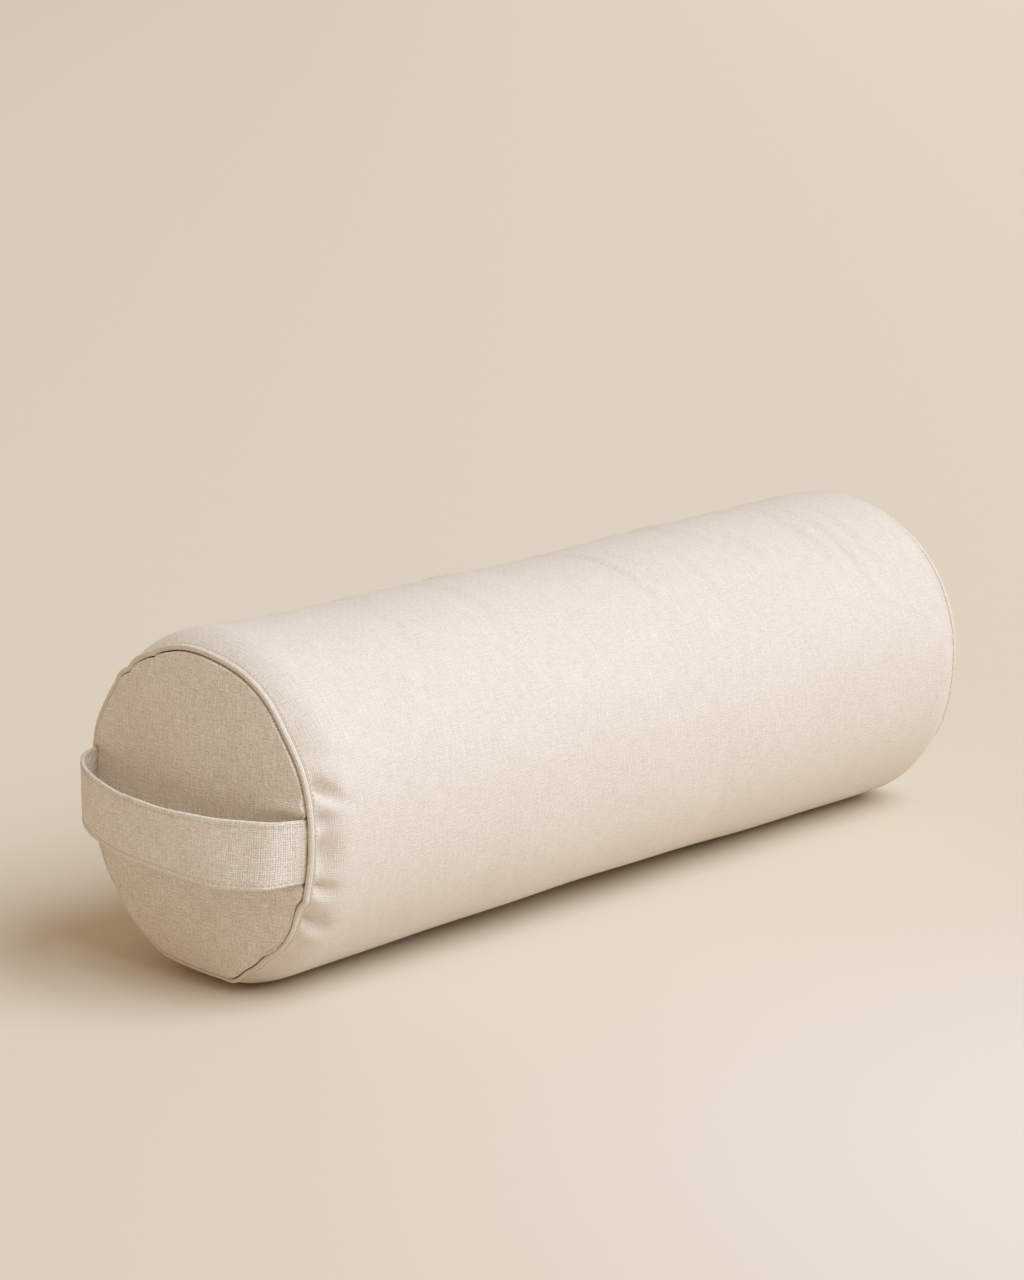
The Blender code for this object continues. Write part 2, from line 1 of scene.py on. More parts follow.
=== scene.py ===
# %% [markdown]
# # A canvas yoga bolster
# A bolster like this is a sewn tube of heavy linen and cotton cloth with a round panel in each end. Its
# end seams are piped, a carry strap is caught in one of them, and a zip in the long seam lets the cover
# come off the lined, firmly stuffed core. The construction is already settled as solids in real metres.
# This script loads them as a fixed frame and lays a fine surface over each soft one, so nothing here has
# to be fitted: a piece goes where its solid is.

# %% Load the frame
import math

import bpy
import numpy as np
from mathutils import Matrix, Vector


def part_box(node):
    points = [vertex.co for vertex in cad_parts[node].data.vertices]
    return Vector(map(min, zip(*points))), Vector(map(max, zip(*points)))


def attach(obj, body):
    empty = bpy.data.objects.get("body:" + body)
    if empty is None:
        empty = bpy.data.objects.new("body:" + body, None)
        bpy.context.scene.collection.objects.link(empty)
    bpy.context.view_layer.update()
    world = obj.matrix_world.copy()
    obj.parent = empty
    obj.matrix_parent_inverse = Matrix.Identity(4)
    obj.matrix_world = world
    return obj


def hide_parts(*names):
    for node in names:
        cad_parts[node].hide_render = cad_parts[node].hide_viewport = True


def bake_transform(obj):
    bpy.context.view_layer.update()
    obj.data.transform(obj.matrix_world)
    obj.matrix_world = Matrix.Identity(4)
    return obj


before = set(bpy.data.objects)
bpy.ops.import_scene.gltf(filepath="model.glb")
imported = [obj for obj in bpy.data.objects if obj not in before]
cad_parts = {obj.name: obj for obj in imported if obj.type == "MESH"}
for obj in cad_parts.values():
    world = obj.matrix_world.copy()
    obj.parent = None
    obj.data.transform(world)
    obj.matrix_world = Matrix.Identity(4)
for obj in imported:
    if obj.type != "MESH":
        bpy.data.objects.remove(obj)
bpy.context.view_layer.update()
print("solids in the frame:", len(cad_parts))

# %% [markdown]
# ## Camera
# The picture was taken from the strap's end, a little above the bolster, through a long lens that keeps
# the far end nearly as large as the near one. A camera can be placed by eye or worked out. This one was
# worked out, from the cushion's outline and its front seam, and its focal length is in pixels because
# that is what such a fit gives.

# %% Place the camera
PICTURE_HEIGHT = 1280  # pixels
FOCAL_PIXELS = 3750
SENSOR = 36.0  # mm, along the picture's long side
CAMERA_PLACE = (-1.8827, -1.6873, 0.7494)
CAMERA_TURN = 0.8290  # radians from +Y towards +X
CAMERA_DIP = 0.2261  # radians below the horizon

camera_data = bpy.data.cameras.new("camera")
camera_data.sensor_width = SENSOR
camera_data.lens = FOCAL_PIXELS / PICTURE_HEIGHT * SENSOR
camera = bpy.data.objects.new("camera", camera_data)
camera.location = CAMERA_PLACE
camera.rotation_euler = (math.pi / 2 - CAMERA_DIP, 0.0, -CAMERA_TURN)
bpy.context.scene.collection.objects.link(camera)
bpy.context.scene.camera = camera
print("lens in mm:", round(camera_data.lens, 1))

# %% [markdown]
# ## Colours and nodes
# A colour is easiest to read as the hex value that a screen shows, but a shader takes linear light, so
# one function turns the first into the second. A material is a small network of nodes. One more
# function adds a node together with its settings and what feeds it, which keeps each material readable
# from top to bottom. A material's own function lays out its network and gives back what goes into its
# shader, and the third function here does what all of them have in common.

# %% Functions for colours, nodes and materials
def linear(hex_colour):
    """The linear values of a colour that is written as sRGB hex."""
    shares = [int(hex_colour[start : start + 2], 16) / 255 for start in (0, 2, 4)]
    values = [s / 12.92 if s <= 0.04045 else ((s + 0.055) / 1.055) ** 2.4 for s in shares]
    return (*values, 1.0)


def add(tree, kind, inputs=None, **settings):
    """A new node with these settings; an input is a value, or the output that feeds it."""
    node = tree.nodes.new(kind)
    for name, value in settings.items():
        setattr(node, name, value)
    for name, value in (inputs or {}).items():
        if isinstance(value, bpy.types.NodeSocket):
            tree.links.new(value, node.inputs[name])
        else:
            node.inputs[name].default_value = value
    return node


def new_material(name, looks, *settings):
    """A material of one shader; looks is called with its tree and these settings, and gives the inputs."""
    material = bpy.data.materials.new(name)
    material.use_nodes = True
    tree = material.node_tree
    tree.nodes.clear()
    shader = add(tree, "ShaderNodeBsdfPrincipled", looks(tree, *settings))
    add(tree, "ShaderNodeOutputMaterial", {"Surface": shader.outputs[0]})
    return material


print("canvas colour in linear light:", [round(v, 3) for v in linear("E6DACB")])

# %% [markdown]
# ## Linen and cotton canvas
# The cover is a plain weave of unbleached linen and cotton yarn, washed and not dyed. Linen yarn is spun
# unevenly, so thick and thin places, called slubs, run along both sets of threads and give the cloth
# its fine streaks; the yarn is matt, with a faint bloom where light grazes its loose fibres. A picture
# of cloth could be laid on it, but nodes give threads of the right size at any distance. The threads
# follow a map that holds real metres across and along the cloth, so they turn with each sewn piece.
# A real thread here is about 0.5 mm wide, which is finer than a pixel, so the weave is drawn at 1.5 mm.

# %% Canvas material
THREAD_SPACING = 0.0015  # drawn three times as coarse as the real thread, so that it shows
TWILL_SPACING = 0.0023
WANDER_SCALE = 90  # of the noise that bends the threads: about 1 cm from bend to bend
WANDER = 0.0016  # how far it can move them
SLUB_LENGTH, SLUB_WIDTH = 0.012, 0.0009  # along the warp
WEFT_SLUB_LENGTH = 0.014
GRAIN = 0.0013
BLOTCHES = (0.060, 0.050)  # where the wash took unevenly, along and across
WAVE_PERIOD = math.pi / 10  # of a wave texture at scale 1
CLOTH_MAP = "cloth"


def cloth_coordinates(tree, lean=1):
    """Metres over the cloth, with the threads wandering a little; a lean of -1 mirrors the twill."""
    cloth = add(tree, "ShaderNodeUVMap", uv_map=CLOTH_MAP).outputs["UV"]
    turned = add(tree, "ShaderNodeVectorMath", {0: cloth, 1: (1, lean, 1)}, operation="MULTIPLY").outputs[0]
    wander = add(tree, "ShaderNodeTexNoise", {"Vector": turned, "Scale": WANDER_SCALE, "Detail": 2})
    halves = {0: wander.outputs["Color"], 1: (-0.5, -0.5, -0.5)}
    centred = add(tree, "ShaderNodeVectorMath", halves, operation="ADD").outputs[0]
    small = add(tree, "ShaderNodeVectorMath", {0: centred, "Scale": WANDER}, operation="SCALE").outputs[0]
    return add(tree, "ShaderNodeVectorMath", {0: turned, 1: small}, operation="ADD").outputs[0]


def threads(tree, coordinates, direction, spacing):
    """Rounded ribs this far apart, across or along the cloth or on the slant."""
    inputs = {"Vector": coordinates, "Scale": WAVE_PERIOD / spacing}
    wave = add(tree, "ShaderNodeTexWave", inputs, wave_type="BANDS", bands_direction=direction)
    return wave.outputs["Fac"]


def streaks(tree, coordinates, along, across):
    """Slubs: noise drawn out to these lengths, in metres, along and across the threads."""
    inputs = {0: coordinates, 1: (1 / along, 1 / across, 1)}
    drawn = add(tree, "ShaderNodeVectorMath", inputs, operation="MULTIPLY").outputs[0]
    return add(tree, "ShaderNodeTexNoise", {"Vector": drawn, "Scale": 1.0, "Detail": 3}).outputs["Fac"]


def blend_of(tree, parts):
    """The sum of several patterns, each with its own share."""
    total = 0.0
    for pattern, share in parts:
        inputs = {0: pattern, 1: share, 2: total}
        total = add(tree, "ShaderNodeMath", inputs, operation="MULTIPLY_ADD").outputs[0]
    return total


def linen_cotton_canvas_woven(tree, light, shade, lean, twill, relief):
    """Washed canvas: its slubs vary between two colours, and its threads stand up as relief."""
    cloth = cloth_coordinates(tree, lean)
    along = streaks(tree, cloth, SLUB_LENGTH, SLUB_WIDTH)
    across = streaks(tree, cloth, SLUB_WIDTH, WEFT_SLUB_LENGTH)
    grain = streaks(tree, cloth, GRAIN, GRAIN)
    blotches = streaks(tree, cloth, *BLOTCHES)
    warp = threads(tree, cloth, "X", THREAD_SPACING)
    weft = threads(tree, cloth, "Y", THREAD_SPACING)
    slant = threads(tree, cloth, "DIAGONAL", TWILL_SPACING * math.sqrt(2))
    yarn = blend_of(tree, [(along, 0.25), (across, 0.30), (grain, 0.39), (blotches, 0.06)])
    depth = add(tree, "ShaderNodeMapRange", {"Value": yarn, "From Min": 0.40, "From Max": 0.60})
    inputs = {0: depth.outputs[0], 6: linear(shade), 7: linear(light)}
    colour = add(tree, "ShaderNodeMix", inputs, data_type="RGBA")
    raised = [(warp, 0.3), (weft, 0.3), (slant, twill), (along, 0.5), (across, 0.5), (grain, 0.4)]
    inputs = {"Height": blend_of(tree, raised), "Strength": 1.0, "Distance": relief}
    return {
        "Base Color": colour.outputs[2],
        "Normal": add(tree, "ShaderNodeBump", inputs).outputs[0],
        "Roughness": 0.92,
        "IOR": 1.53,
        "Specular IOR Level": 0.25,
        "Sheen Weight": 0.30,
        "Sheen Roughness": 0.5,
        "Sheen Tint": linear("FFF8EC"),
    }


# The two colours, the lean and share of the twill, and the relief
CANVAS, PANEL_CANVAS_PAINTED_LIGHTER, STRAP_CANVAS_PAINTED_LIGHTER, PIPING_CANVAS = [
    new_material(f"canvas_of_the_{part}", linen_cotton_canvas_woven, *settings)
    for part, *settings in (
        ("cover", "EFE5DA", "DDD1C3", 1, 0.15, 0.0003),
        # The end panels and the strap take a lighter copy of the cover's cloth: painted light for the end
        # that lies in shade
        ("end_panels", "FFF8EE", "DDD0C1", -1, 0.3, 0.00046),
        ("strap", "FFF9F1", "E0D4C6", -1, 0.6, 0.00046),
        ("piping", "F0E6DA", "DFD3C4", 1, 0.25, 0.00036),
    )
]
print("canvas threads drawn every", THREAD_SPACING * 1000, "mm")

# %% [markdown]
# ## Thread, cord, tape and the inner cloths
# The seams are sewn with a twisted cotton thread, a shade lighter than the canvas because it is not
# linen. The piping holds a three-strand cotton cord. The zip is sewn to a finely woven polyester tape,
# and its chain is a nylon monofilament, coiled and set with heat, which lets a little light in. The
# inner bag is bleached cotton sheeting, and the stuffing is carded cotton. Each of them is again a
# pattern at its real size: a twist is a slanted wave, sheeting is the weave at a finer spacing, and
# carded fibre is plain noise drawn out one way.

# %% Materials of the thread, cord and inner cloths
def matt_fibres(tree, light, shade, pattern, spacing, relief, roughness):
    """A matt surface whose colour and relief both follow a pattern at this spacing."""
    height = pattern(tree, cloth_coordinates(tree), spacing)
    inputs = {0: height, 6: linear(shade), 7: linear(light)}
    colour = add(tree, "ShaderNodeMix", inputs, data_type="RGBA").outputs[2]
    bump = add(tree, "ShaderNodeBump", {"Height": height, "Strength": 0.8, "Distance": relief}).outputs[0]
    return {"Base Color": colour, "Normal": bump, "Roughness": roughness, "Sheen Weight": 0.1}


def twist(tree, cloth, spacing):
    """A slanted rib, as strands laid round each other give."""
    return threads(tree, cloth, "DIAGONAL", spacing)


def fine_weave(tree, cloth, spacing):
    """Two crossing sets of threads with a little unevenness."""
    warp, weft = [threads(tree, cloth, direction, spacing) for direction in ("X", "Y")]
    return blend_of(tree, [(warp, 0.3), (weft, 0.3), (streaks(tree, cloth, 0.02, 0.002), 0.4)])


def carded(tree, cloth, spacing):
    """Loose fibres that lie mostly one way, in tufts of this size."""
    fibres, tufts = streaks(tree, cloth, 0.05, 0.004), streaks(tree, cloth, spacing, spacing)
    return blend_of(tree, [(fibres, 0.6), (tufts, 0.4)])


# The two colours, the pattern and its spacing, the relief and the roughness
THREAD, CORD, TAPE, SHEETING, STUFFING = [
    new_material(name, matt_fibres, *settings)
    for name, *settings in (
        ("cotton_thread_twisted", "F3EADC", "DCCFBB", twist, 0.0006, 0.00008, 0.85),
        ("cotton_cord_laid", "F2ECE0", "CFC5B2", twist, 0.003, 0.0003, 0.85),
        ("polyester_tape_woven", "E2D6C4", "C9BBA5", fine_weave, 0.0008, 0.0001, 0.85),
        ("cotton_sheeting_bleached", "F6F2EA", "E6DFD2", fine_weave, 0.0010, 0.0001, 0.85),
        ("cotton_carded", "F7F4EE", "DDD6C8", carded, 0.015, 0.002, 0.95),
    )
]
print("fibre materials:", [material.name for material in (THREAD, CORD, TAPE, SHEETING, STUFFING)])

# %% [markdown]
# ## Nylon and nickelled zinc
# Nylon monofilament is smooth and slightly see-through, so it takes a low roughness, an IOR of 1.53 and
# a little light under its surface. The slider, its pull and the stops are zinc, cast, tumbled smooth and
# plated with satin nickel. Tumbling leaves fine marks in every direction, so the roughness varies
# with a fine, distorted noise and the metal has no grain of its own.

# %% Materials of the zip's hard parts
def nylon_monofilament_set(tree):
    place = add(tree, "ShaderNodeTexCoord").outputs["Object"]
    cloudy = add(tree, "ShaderNodeTexNoise", {"Vector": place, "Scale": 300, "Detail": 1})
    inputs = {0: cloudy.outputs["Fac"], 6: linear("D9CBB6"), 7: linear("EBE1D2")}
    colour = add(tree, "ShaderNodeMix", inputs, data_type="RGBA").outputs[2]
    glow = {"Subsurface Weight": 0.15, "Subsurface Scale": 0.001}
    return {"Base Color": colour, "Roughness": 0.32, "IOR": 1.53, **glow}


def zinc_tumbled_satin_nickel(tree):
    place = add(tree, "ShaderNodeTexCoord").outputs["Object"]
    inputs = {"Vector": place, "Scale": 1800, "Detail": 4, "Distortion": 1.5}
    marks = add(tree, "ShaderNodeTexNoise", inputs).outputs["Fac"]
    rough = add(tree, "ShaderNodeMapRange", {"Value": marks, "To Min": 0.26, "To Max": 0.46}).outputs[0]
    bump = add(tree, "ShaderNodeBump", {"Height": marks, "Strength": 0.25, "Distance": 0.00003}).outputs[0]
    return {"Base Color": linear("C9C3B8"), "Metallic": 1.0, "Roughness": rough, "Normal": bump}


NYLON = new_material("nylon_monofilament_set", nylon_monofilament_set)
NICKEL = new_material("zinc_tumbled_satin_nickel", zinc_tumbled_satin_nickel)
print("hard materials:", NYLON.name, "and", NICKEL.name)

# %% [markdown]
# ## The cushion's outline
# Looked at along its axis the bolster is nearly a circle. The upper half is an ellipse; the lower half
# is a little squarer, because the filling spreads under its own weight, and it is pressed flat where it
# rests. A second flat, too shallow to notice, lets the zip lie straight. All the cloths are laid out
# from this one outline, at some inset from it, so they stay a constant gap apart. The numbers are the
# ones the solids were made with, and the zip's place is read from the frame.

# %% The outline and its two flats
LENGTH = 0.670  # from one end seam to the other
HALF_WIDTH = 0.110
TOP_RISE = 0.112  # from the axis to the top
AXIS_HEIGHT = 0.1167  # from the floor to the axis
REST_SINK = 0.0015  # how far the round would reach below the floor
LOWER_FULLNESS = 2.19  # exponent of the lower half's superellipse; 2 is an ellipse
CANVAS_THICKNESS = 0.0012
GAP = 0.0003  # between pieces that touch on the real object
EDGE_SOFTNESS = 0.0012  # how gently the round goes over into a flat


def middle_of(node):
    low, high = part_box(node)
    return (low + high) / 2


AXIS = Vector((0.0, 0.0, AXIS_HEIGHT))
COIL_MIDDLE = (middle_of("zip_coil_upper") + middle_of("zip_coil_lower")) / 2
ZIP_DOWN = (middle_of("zip_coil_lower") - middle_of("zip_coil_upper")).normalized()
ZIP_OUT = Vector((1.0, 0.0, 0.0)).cross(ZIP_DOWN)
ZIP_ANGLE = math.atan2(ZIP_OUT.z, ZIP_OUT.y)
coil_bottom = min((v.co - AXIS) @ ZIP_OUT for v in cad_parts["zip_coil_upper"].data.vertices)
ZIP_PLANE = coil_bottom + CANVAS_THICKNESS  # the chain lies with its back level with the cloth's
ZIP_SHIFT = (COIL_MIDDLE - AXIS) @ ZIP_DOWN


def zip_point(along, down, out):
    """A place given from the middle of the zip's flat."""
    foot = AXIS + ZIP_OUT * (ZIP_PLANE + out) + ZIP_DOWN * (ZIP_SHIFT + down)
    return foot + Vector((along, 0.0, 0.0))


def rounded_least(first, second):
    """The smaller of two distances, with the corner where they cross rounded off."""
    near = np.maximum(EDGE_SOFTNESS - np.abs(first - second), 0) / EDGE_SOFTNESS
    return np.minimum(first, second) - near**2 * EDGE_SOFTNESS / 4


def half_shape(up, inset):
    """Rise and exponent of the half of the outline that a height above the axis lies in."""
    rise = np.where(up >= 0, TOP_RISE, AXIS_HEIGHT + REST_SINK) - inset
    return rise, np.where(up >= 0, 2.0, LOWER_FULLNESS)


def round_radius(angle, inset):
    """From the axis to the round outline, at this angle from +Y towards +Z."""
    up = np.sin(angle)
    rise, power = half_shape(up, inset)
    across = np.abs(np.cos(angle)) / (HALF_WIDTH - inset)
    return (across**power + (np.abs(up) / rise) ** power) ** (-1 / power)


def flattened(radius, angle, floor_depth=0.0, zip_depth=0.0):
    """A radius held back by the floor and by the zip's flat, each sunk this deep."""
    down = np.maximum(-np.sin(angle), 1e-6)
    held = rounded_least(radius, (AXIS_HEIGHT - floor_depth) / down)
    facing = np.maximum(np.cos(angle - ZIP_ANGLE), 1e-6)
    return rounded_least(held, (ZIP_PLANE - zip_depth) / facing)


def placed(x, radius, angle):
    """Points at x, this far from the axis, in this direction."""
    x, radius, angle = np.broadcast_arrays(x, radius, angle)
    return np.stack([x, radius * np.cos(angle), AXIS_HEIGHT + radius * np.sin(angle)], axis=-1)


print("zip faces", round(math.degrees(ZIP_ANGLE), 1), "degrees up, at", round(1000 * ZIP_PLANE, 2), "mm")

# %% [markdown]
# ## From a grid of points to a sewn cloth
# Every cloth here is a grid: rows along it and columns across or round it. A grid is quick to work out
# with arrays, its faces follow from its shape, and its map of metres along and across is what the weave
# needs. Solidify then gives the cloth its thickness, on the inside.

# %% Make a piece from a grid
def grid_cells(rows, columns):
    """Numbers of the four points round each cell of a grid."""
    number = np.arange(rows * columns).reshape(rows, columns)
    cells = [number[:-1, :-1], number[:-1, 1:], number[1:, 1:], number[1:, :-1]]
    return np.stack(cells, axis=-1)


def metres_along(points, axis):
    """Mean distance over the surface from the first row, or column, to each of the others."""
    steps = np.linalg.norm(np.diff(points, axis=axis), axis=-1).mean(axis=1 - axis)
    return np.concatenate([[0.0], np.cumsum(steps)])


def new_piece(name, vertices, faces, places, material):
    """A smooth mesh with its map of metres, one place for each corner of each face."""
    mesh = bpy.data.meshes.new(name)
    mesh.from_pydata(vertices, [], faces)
    layer = mesh.uv_layers.new(name=CLOTH_MAP)
    layer.data.foreach_set("uv", np.asarray(places, dtype=np.float32).ravel())
    mesh.materials.append(material)
    mesh.shade_smooth()
    piece = bpy.data.objects.new(name, mesh)
    bpy.context.scene.collection.objects.link(piece)
    return piece


def cloth_piece(
    name, points, material, around=True, endless=False, turned=False, skip=None, poles=(), flat=None
):
    """A piece over a grid of points.

    around joins the last column to the first and endless the last row, turned swaps inside and outside,
    skip leaves out cells, poles close the first row and the last with a point each, and flat names the
    two axes along which the cloth was cut flat.
    """
    rows, columns = points.shape[:2]
    spread = np.concatenate([points, points[:, :1]], axis=1) if around else points
    spread = np.concatenate([spread, spread[:1]], axis=0) if endless else spread
    if flat is None:
        places = np.stack(np.meshgrid(metres_along(spread, 0), metres_along(spread, 1), indexing="ij"), -1)
    else:
        places = spread[..., list(flat)]
    cells = grid_cells(*spread.shape[:2])
    cells = (cells if skip is None else cells[~skip]).reshape(-1, 4)
    cells = cells[:, ::-1] if turned else cells
    places = places.reshape(-1, 2)[cells.ravel()].tolist()
    at_row, at_column = np.divmod(cells, spread.shape[1])
    faces = ((at_row % rows) * columns + at_column % columns).tolist()
    vertices = points.reshape(-1, 3).tolist()
    for pole, row in zip(poles, (0, rows - 1)):
        vertices.append(tuple(pole))
        for column in range(columns):
            pair = [(column + 1) % columns, column]
            if turned != (row > 0):
                pair.reverse()
            faces.append([len(vertices) - 1] + [row * columns + number for number in pair])
            spots = [vertices[number] for number in faces[-1]]
            places += [[spot[axis] for axis in flat or (1, 2)] for spot in spots]
    return new_piece(name, vertices, faces, places, material)


def circle(count):
    """Evenly spread directions, once round."""
    return np.linspace(0, 2 * math.pi, count, endpoint=False)


def unit(vectors):
    """The same directions, each of length 1."""
    return vectors / np.linalg.norm(vectors, axis=-1, keepdims=True)


def run_along(path):
    """Distance along a path to each of its points."""
    return np.concatenate([[0.0], np.cumsum(np.linalg.norm(np.diff(path, axis=0), axis=1))])


def at_runs(places, run, values):
    """Values given along a run, read off at these places of it."""
    return np.stack([np.interp(places, run, column) for column in values.T], axis=1)


def tube_points(path, radius, sides, aside):
    """Rings of points round a path; aside is a direction that the path never runs in."""
    along = unit(np.gradient(path, axis=0))
    first = unit(np.cross(along, aside))
    second = np.cross(along, first)
    turn = circle(sides)[None, :, None]
    return path[:, None] + radius * (np.cos(turn) * first[:, None] + np.sin(turn) * second[:, None])


def thicken(piece, thickness):
    """Cloth of this thickness, laid on the inside of the surface."""
    solidify = piece.modifiers.new("cloth", "SOLIDIFY")
    solidify.thickness = thickness
    solidify.offset = -1


def settle(piece, body, slot, *replaced):
    """The piece rides on this body in place of these solids."""
    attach(piece, body)
    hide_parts(*replaced)
    print(f"{piece.name}: {len(piece.data.polygons)} faces in place of {', '.join(replaced)}")


# %% [markdown]
# ## The end seams
# At each end four edges lie on each other: the barrel, the two lips of the piping and the end panel.
# The piping stands as a ridge on the barrel's side, and between it and the panel there is a dark crease.
# On a real cushion this line wanders. The strap pulls it in, the weight on the underside squashes the
# ridge flat, and two kinks show low on the near side. All the cloths have to agree about it, so the
# wandering is one function that each of them calls.

# %% Where the end seams run
SHOULDER_LENGTH = 0.029  # over which the barrel is drawn in to the seam
SHOULDER_POWER = 2.2
SEAM_ALLOWANCE = 0.009
PIPING_RADIUS = 0.0020
PIPING_CLOTH = 0.0006
LIP_OUTER = 0.0117  # inset of the piping's outer lip
LIP_INNER = 0.0102
EDGE_BACK, EDGE_RISE = 1.9, 1.6  # of the barrel's edge from the seam and from the lip, in piping radii
EDGE_ROUND = 0.0009  # radius at which the barrel's edge rolls into the crease
EDGE_TURN = math.radians(53)
HEM_MARGIN = 0.0002  # by which the hidden hem lies deeper than the roll's centre
FLATTENED_PIPING = 0.0014  # its radius where the underside squashes it
SQUASH_EASE = (-5.0, 8.0)  # degrees inside the squashed part at which that begins and is full
FRONT, REAR = -1, 1
ENDS = ((FRONT, "front"), (REAR, "rear"))
# Direction in degrees from +Y towards +Z, width in degrees, and how far the seam is drawn in
SEAM_KINKS = {
    FRONT: (
        (210.5, 5.0, 0.0023), (236.0, 6.0, 0.0022), (254.5, 5.0, -0.0040), (262.5, 6.0, -0.0012),
        (289.0, 5.0, -0.0014), (204.5, 2.2, -0.0010), (318.0, 4.0, 0.0016), (143.0, 11.0, 0.0020),
        (100.0, 13.0, 0.0015), (67.5, 1.7, 0.0010), (57.0, 5.0, -0.0010), (52.2, 1.5, 0.0009),
        (46.5, 3.5, -0.0016), (22.0, 6.0, -0.0009),
    ),
    REAR: ((224.0, 5.0, 0.0012), (309.0, 4.0, 0.0018), (270.0, 20.0, -0.0030), (120.0, 12.0, 0.0010)),
}
# Directions between which the piping is squashed
SQUASHED = {FRONT: (212.0, 331.0), REAR: (228.0, 312.0)}


def turn_from(angle, centre):
    """Degrees from this direction round to each angle, from -180 to 180."""
    return (np.degrees(angle) - centre + 180) % 360 - 180


def bell(value, width):
    """1 at nought, falling off on both sides."""
    return np.exp(-((value / width) ** 2))


def smooth(value, start, end):
    """0 before start, 1 past end, and an even swell between them."""
    share = np.clip((value - start) / (end - start), 0, 1)
    return share * share * (3 - 2 * share)


def inward(x, start, end):
    """0 near both end seams and 1 further in, with its swell between these distances from them."""
    return smooth(LENGTH / 2 - np.abs(x), start, end)


def seam_push(angle, end):
    """How much further in than its plain ring the seam runs."""
    push = np.zeros(np.shape(angle))
    for centre, width, depth in SEAM_KINKS[end]:
        push = push + depth * bell(turn_from(angle, centre), width)
    return push


def piping_radius(angle, end):
    """Full round most of the seam, and slimmer along the underside."""
    first, last = SQUASHED[end]
    middle, half = (first + last) / 2, (last - first) / 2
    squashed = smooth(half - np.abs(turn_from(angle, middle)), *SQUASH_EASE)
    return PIPING_RADIUS + (FLATTENED_PIPING - PIPING_RADIUS) * squashed


def at_end(end, distance, inset, angle):
    """Points this far from the seam's plane towards the middle, at this inset from the outline."""
    return placed(end * (LENGTH / 2 - distance), round_radius(angle, inset), angle)


def shoulder_inset(distance, edge_inset, edge):
    """How far the barrel is drawn in at this distance from the seam, where its own edge lies at edge."""
    drawn = np.maximum(0.0, (SHOULDER_LENGTH - distance) / (SHOULDER_LENGTH - edge))
    return edge_inset * drawn**SHOULDER_POWER


def barrel_edge(angle, end):
    """Where the barrel rolls over behind the piping.

    Gives its edge's distance from the seam and the inset it would have without the roll, the roll's
    radius, the distance at which the roll ends and its centre's inset, and the hem's inset.
    """
    radius = piping_radius(angle, end)
    push = seam_push(angle, end)
    edge = EDGE_BACK * radius + GAP
    edge_inset = LIP_OUTER - EDGE_RISE * radius + push
    roll = EDGE_ROUND * radius / PIPING_RADIUS
    roll_end = edge + roll * (1 - math.cos(EDGE_TURN))
    centre = shoulder_inset(roll_end, edge_inset, edge) + roll * math.sin(EDGE_TURN)
    hem = np.maximum(LIP_INNER - GAP + push, centre + HEM_MARGIN)
    return edge, edge_inset, roll, roll_end, centre, hem


print("seam circumference in mm:", round(2000 * math.pi * (HALF_WIDTH - LIP_OUTER)))

# %% [markdown]
# ## How the barrel's cloth wrinkles
# A firm bolster is almost smooth. What wrinkles it has run round it, where the cloth is a little longer
# than its filling, and short pleats stand out from the seam where the strap pulls at it. Along the top
# and low on the near side the cover hangs slack in a long, shallow hollow. Cloth simulation gives such
# folds at random. Here they have to lie where the photograph shows them, so each is a soft groove with
# rounded ridges beside it, listed one by one, and seeded random ones of the same kind go on the sides that
# the photograph doesn't show. Where a dent lies close to the seam, it presses on the seam allowances
# behind the cover, and the last function says how much deeper they have to go.

# %% Wrinkles and pleats
SEED = 7
# Place along the axis, first and last direction in degrees, depth, half width and drift along the axis
SEEN_WRINKLES = (
    (0.016, 66, 140, 0.0026, 0.0050, 0.026), (0.036, 70, 132, 0.0017, 0.0045, 0.022),
    (-0.124, 62, 130, 0.0022, 0.0060, 0.006), (-0.080, 50, 112, -0.0016, 0.0120, 0.008),
    (-0.205, 70, 150, 0.0012, 0.0070, -0.006), (0.083, 92, 160, 0.0014, 0.0050, 0.008),
    (0.150, 72, 138, 0.0015, 0.0055, 0.012), (0.214, 72, 142, 0.0018, 0.0050, 0.010),
    (0.236, 80, 156, 0.0022, 0.0048, 0.012), (0.258, 88, 150, 0.0016, 0.0045, 0.008),
    (0.118, 52, 104, 0.0018, 0.0090, -0.004), (0.060, 170, 236, 0.0005, 0.0080, 0.008),
    (-0.170, 176, 240, 0.0005, 0.0090, -0.006),
)
HIDDEN_WRINKLES, SWELLS = 14, 10
# Direction at the seam, depth, width in degrees, reach along the barrel and slant in degrees over that
# reach: a pleat is a groove, and a negative one a fold that stands up
FRONT_PLEATS = (
    (163.0, 0.0060, 2.9, 0.0100, 3.5), (169.8, -0.0004, 1.6, 0.0080, 1.5),
    (175.5, 0.0042, 2.5, 0.0065, 0.0), (187.0, 0.0050, 7.0, 0.0075, 0.0),
    (199.0, 0.0044, 1.9, 0.0080, 0.5), (204.5, -0.0010, 2.0, 0.0060, 0.5),
    (212.0, 0.0054, 2.6, 0.0095, 1.5), (217.5, -0.0007, 2.4, 0.0080, 1.0),
    (152.0, 0.0009, 3.0, 0.0120, 2.0), (137.0, 0.0007, 4.0, 0.0120, 0.0),
    (16.0, 0.0026, 2.6, 0.0070, -2.0), (9.5, -0.0012, 2.0, 0.0080, 0.0), (0.0, 0.0020, 5.5, 0.0060, 0.0),
    (-14.0, 0.0024, 2.2, 0.0080, 1.0),
)
